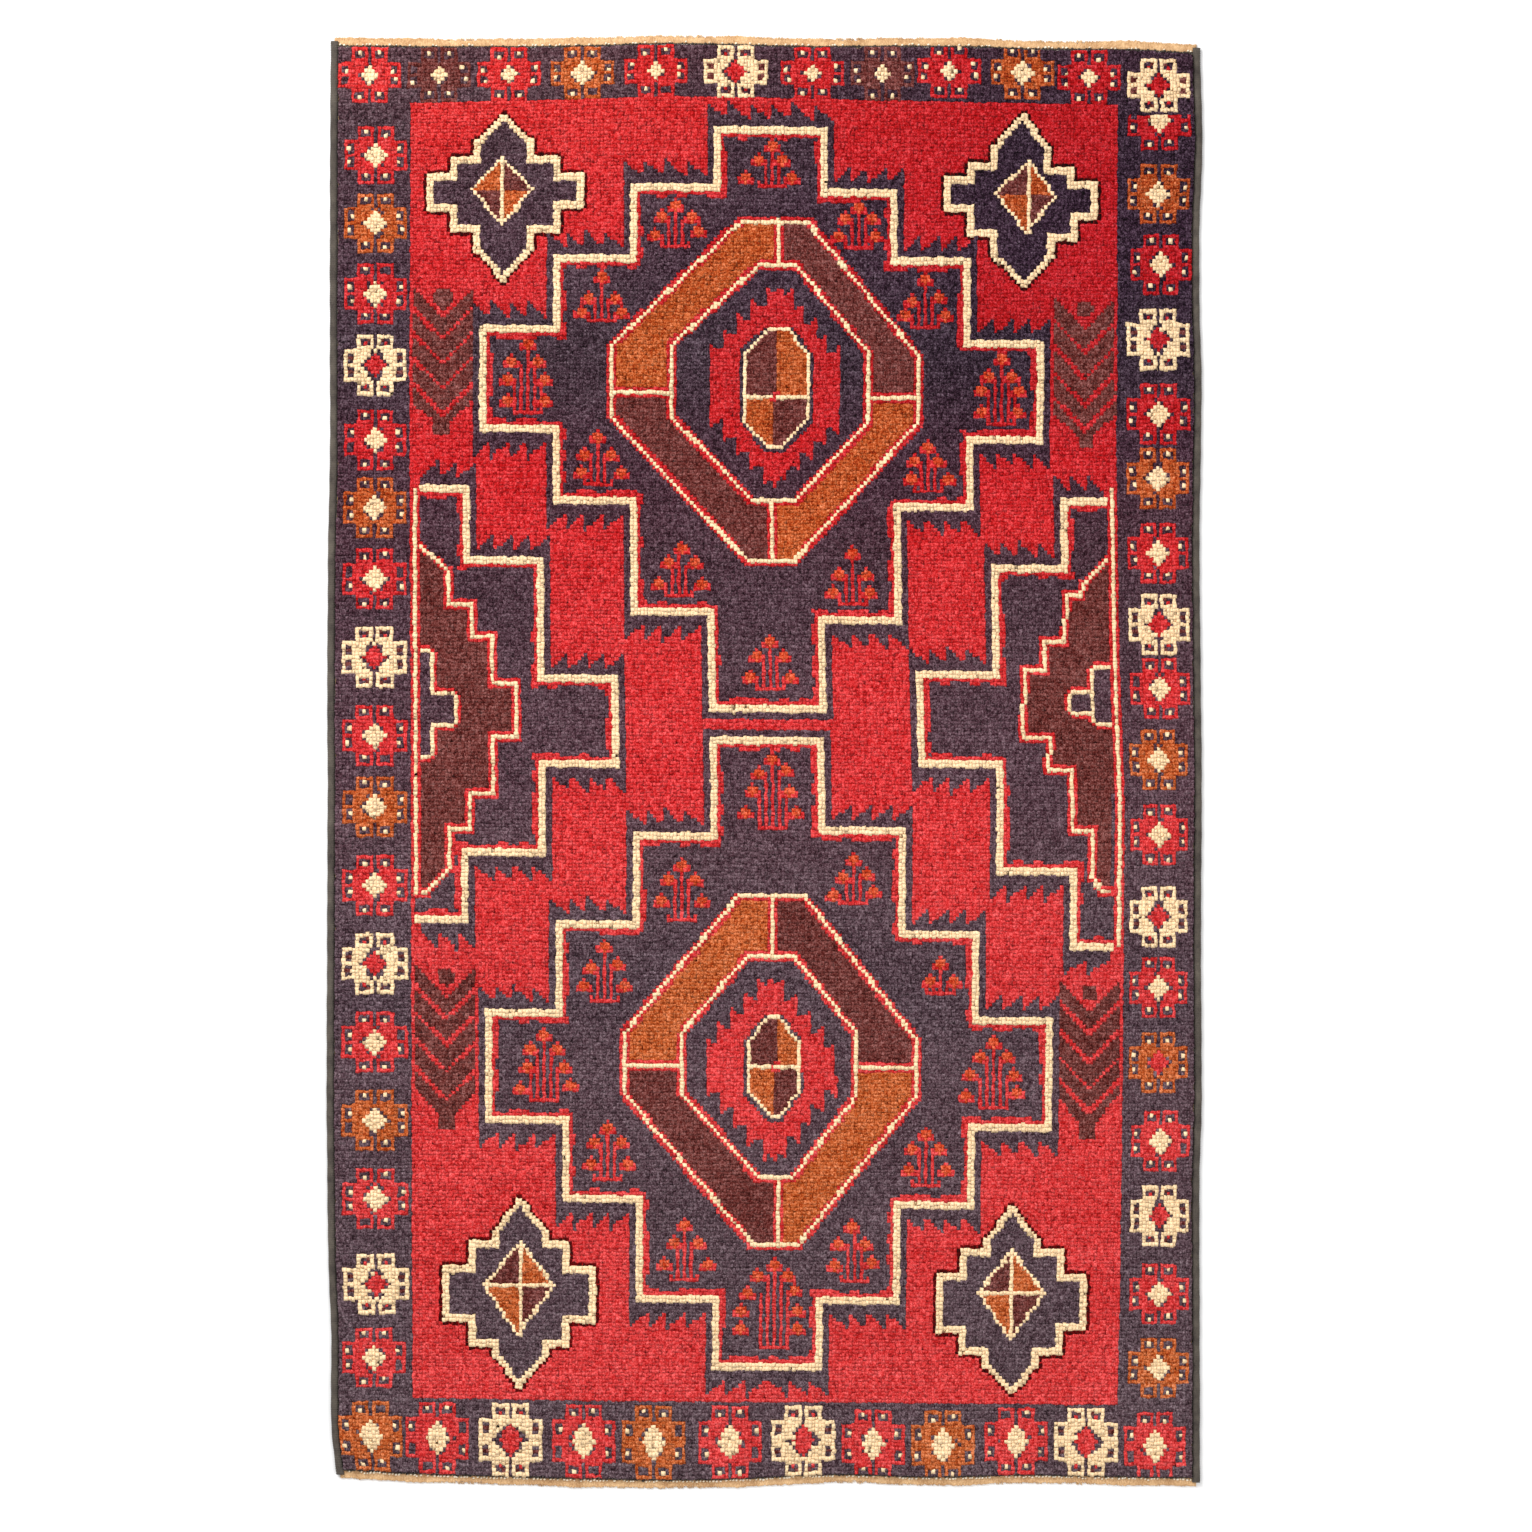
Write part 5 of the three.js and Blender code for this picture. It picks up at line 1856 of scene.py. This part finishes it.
@dataclass
class Selvedge:
    """One long side: two goat-hair cords, overcast with a wrapping that shows as slanting ribs."""

    cloth: Cloth
    side: Side
    wrapping: bpy.types.Material
    core: bpy.types.Material
    wrap_pitch: float = 0.0024
    rings_per_wrap: int = 3
    round_faces: int = 10
    rib: float = 0.00042
    cord_round: int = 8
    cord_rings: int = 320

    def __post_init__(self) -> None:
        """Reads the side's sizes from its CAD wrapping."""
        self.word = self.side.name.lower()
        self.low, self.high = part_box(f"selvedge_wrap_{self.word}")
        self.rng = np.random.default_rng(SEED + (17 if self.side is Side.LEFT else 18))

    def _tube(self, name: str, rings: int, around: int, material: bpy.types.Material) -> tuple:
        """A capped tube.

        Args:
            name: the piece's name.
            rings: stretches along it.
            around: faces round it.
            material: its finish.

        Returns:
            The object, and the share along it and the angle round it at each vertex.
        """
        bm = bmesh.new()
        bmesh.ops.create_cone(bm, cap_ends=True, segments=around, radius1=1.0, radius2=1.0, depth=1.0)
        long_edges = [e for e in bm.edges if abs(e.verts[0].co.z - e.verts[1].co.z) > 0.5]
        bmesh.ops.subdivide_edges(bm, edges=long_edges, cuts=rings - 1, use_grid_fill=True)
        thing = linked(name, bm, material)
        points = points_of(thing.data)
        return thing, points[:, 2] + 0.5, np.arctan2(points[:, 1], points[:, 0])

    def _lay(self, thing: bpy.types.Object, share: np.ndarray, across: np.ndarray, up: np.ndarray) -> None:
        """Lays a tube along the rug's side.

        Args:
            thing: the tube.
            share: share along the side of each vertex, from the near end.
            across: place across from the pile's edge of each vertex, in metres.
            up: height of each vertex, in metres.
        """
        loom = self.cloth.loom
        y = self.low.y + share * (self.high.y - self.low.y)
        j = (loom.pile_high.y - y) / loom.knot_long
        edge = np.zeros_like(j) if self.side is Side.LEFT else np.full_like(j, loom.knots)
        x, y = self.cloth.floor(edge, j, sway=False)
        place_points(thing.data, np.stack([x + across, y, up], 1))
        smooth(thing.data)

    def wrap(self) -> Piece:
        """The overcast wrapping."""
        long = self.high.y - self.low.y
        rings = int(long / self.wrap_pitch) * self.rings_per_wrap
        name = f"overcast_edge_{self.word}"
        thing, share, angle = self._tube(name, rings, self.round_faces, self.wrapping)
        middle = (self.low.x + self.high.x) / 2 + 0.0003 * self.side.value
        edge = self.cloth.loom.pile_low.x if self.side is Side.LEFT else self.cloth.loom.pile_high.x
        turns = share * long / self.wrap_pitch
        uneven = 0.00016 * np.sin(share * 310) + 0.00012 * np.sin(share * 97 + 2)
        wave = np.cos(2 * math.pi * turns - angle * self.side.value)
        radius = self.rib * wave + uneven
        half_wide, half_high = (self.high.x - self.low.x) / 2, (self.high.z - self.low.z) / 2
        across = middle - edge + (half_wide + 0.0004 + radius) * np.cos(angle)
        up = half_high + 0.0003 + (half_high - 0.0004 + radius) * np.sin(angle)
        self._lay(thing, share, across, np.maximum(up, 0.0001))
        return Piece(thing, (f"selvedge_wrap_{self.word}",), GOAT.slot)

    def cord(self, which: str) -> Piece:
        """One inner cord, seen only where it leaves the wrapping at the ends.

        Args:
            which: inner or outer.

        Returns:
            The piece.
        """
        node = f"selvedge_cord_{self.word}_{which}"
        low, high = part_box(node)
        name = f"edge_cord_{self.word}_{which}"
        thing, share, angle = self._tube(name, self.cord_rings, self.cord_round, self.core)
        edge = self.cloth.loom.pile_low.x if self.side is Side.LEFT else self.cloth.loom.pile_high.x
        ply = 0.00012 * np.cos(2 * angle + share * 900)
        across = (low.x + high.x) / 2 - edge + ((high.x - low.x) / 2 - 0.0002 + ply) * np.cos(angle)
        up = (low.z + high.z) / 2 + ((high.z - low.z) / 2 - 0.0002 + ply) * np.sin(angle)
        self._lay(thing, 0.0015 + share * 0.997, across, up)
        return Piece(thing, (node,), INNER.slot)

    def build(self) -> list[Piece]:
        """Makes the wrapping and its two cords."""
        return [self.wrap(), self.cord("inner"), self.cord("outer")]


# ---- the room ---------------------------------------------------------------


@dataclass
class Studio:
    """A pale floor, a soft overhead light and a long-lens camera straight above the rug."""

    frame_wide: float = 1.6036
    aim_y: float = -0.0063
    lens: float = 150.0
    sensor: float = 36.0
    floor_half: float = 30.0
    rug_top: float = 0.008

    def camera(self) -> None:
        """Sets the camera above the rug, looking straight down, far end at the top."""
        data = bpy.data.cameras.new("camera")
        data.lens, data.sensor_width = self.lens, self.sensor
        data.clip_start, data.clip_end = 0.1, 200.0
        thing = bpy.data.objects.new("camera", data)
        thing.location = (0.0, self.aim_y, self.frame_wide / self.sensor * self.lens + self.rug_top)
        bpy.context.scene.collection.objects.link(thing)
        bpy.context.scene.camera = thing

    def floor(self) -> None:
        """Lays the floor just under the rug."""
        bm = bmesh.new()
        bmesh.ops.create_grid(bm, x_segments=1, y_segments=1, size=self.floor_half)
        material = bpy.data.materials.new("pale_floor")
        material.use_nodes = True
        shader = material.node_tree.nodes["Principled BSDF"]
        shader.inputs["Base Color"].default_value = (0.93, 0.93, 0.93, 1.0)
        shader.inputs["Roughness"].default_value = 0.9
        shader.inputs["Specular IOR Level"].default_value = 0.1
        bmesh.ops.translate(bm, vec=(0, 0, -0.0002), verts=bm.verts[:])
        linked("floor", bm, material)

    def lights(self) -> None:
        """One large soft light high on the far left, a weaker one opposite, and a white room."""
        rows = (("key", (-1.7, 1.9, 2.6), 2.2, 118.0), ("fill", (2.2, -1.4, 2.8), 2.6, 42.0))
        for name, place, size, power in rows:
            data = bpy.data.lights.new(name, "AREA")
            data.shape, data.size, data.energy = "SQUARE", size, power
            thing = bpy.data.objects.new(name, data)
            thing.location = place
            thing.rotation_mode = "QUATERNION"
            thing.rotation_quaternion = (-Vector(place)).to_track_quat("-Z", "Y")
            bpy.context.scene.collection.objects.link(thing)
        world = bpy.data.worlds.new("room")
        world.use_nodes = True
        world.node_tree.nodes["Background"].inputs["Color"].default_value = (1.0, 1.0, 1.0, 1.0)
        world.node_tree.nodes["Background"].inputs["Strength"].default_value = 0.62
        bpy.context.scene.world = world
        bpy.context.scene.view_settings.view_transform = "Standard"

    def build(self) -> None:
        """Sets up the whole room."""
        self.camera()
        self.floor()
        self.lights()


def main() -> None:
    """Weaves the rug piece by piece and hands it to the frame."""
    logging.basicConfig(level=logging.INFO, format="%(name)s %(message)s")
    Studio().build()
    loom = Loom()
    cloth = Cloth(loom, Lay(loom), SEED)
    chart = Chart(cloth)
    chart.draw()
    fibre, wash_group = wool_fibre_group(), DyeAndShadeWash().group(loom)
    pile = Pile(chart, fibre, wash_group)
    pieces = pile.build()
    pieces += KnotBacks(chart, pile.materials).build()
    weave, warp, loops = COTTON.material(), WARP.material(), LOOP.material()
    wrapping, core = GOAT.material(), INNER.material()
    for edge in Edge:
        pieces += RugEnd(cloth, edge, weave, warp, loops, core).build()
    for side in Side:
        pieces += Selvedge(cloth, side, wrapping, core).build()
    ground = Foundation(cloth).build()
    for piece in [*pieces, ground]:
        piece.settle()


if __name__ == "__main__":
    main()
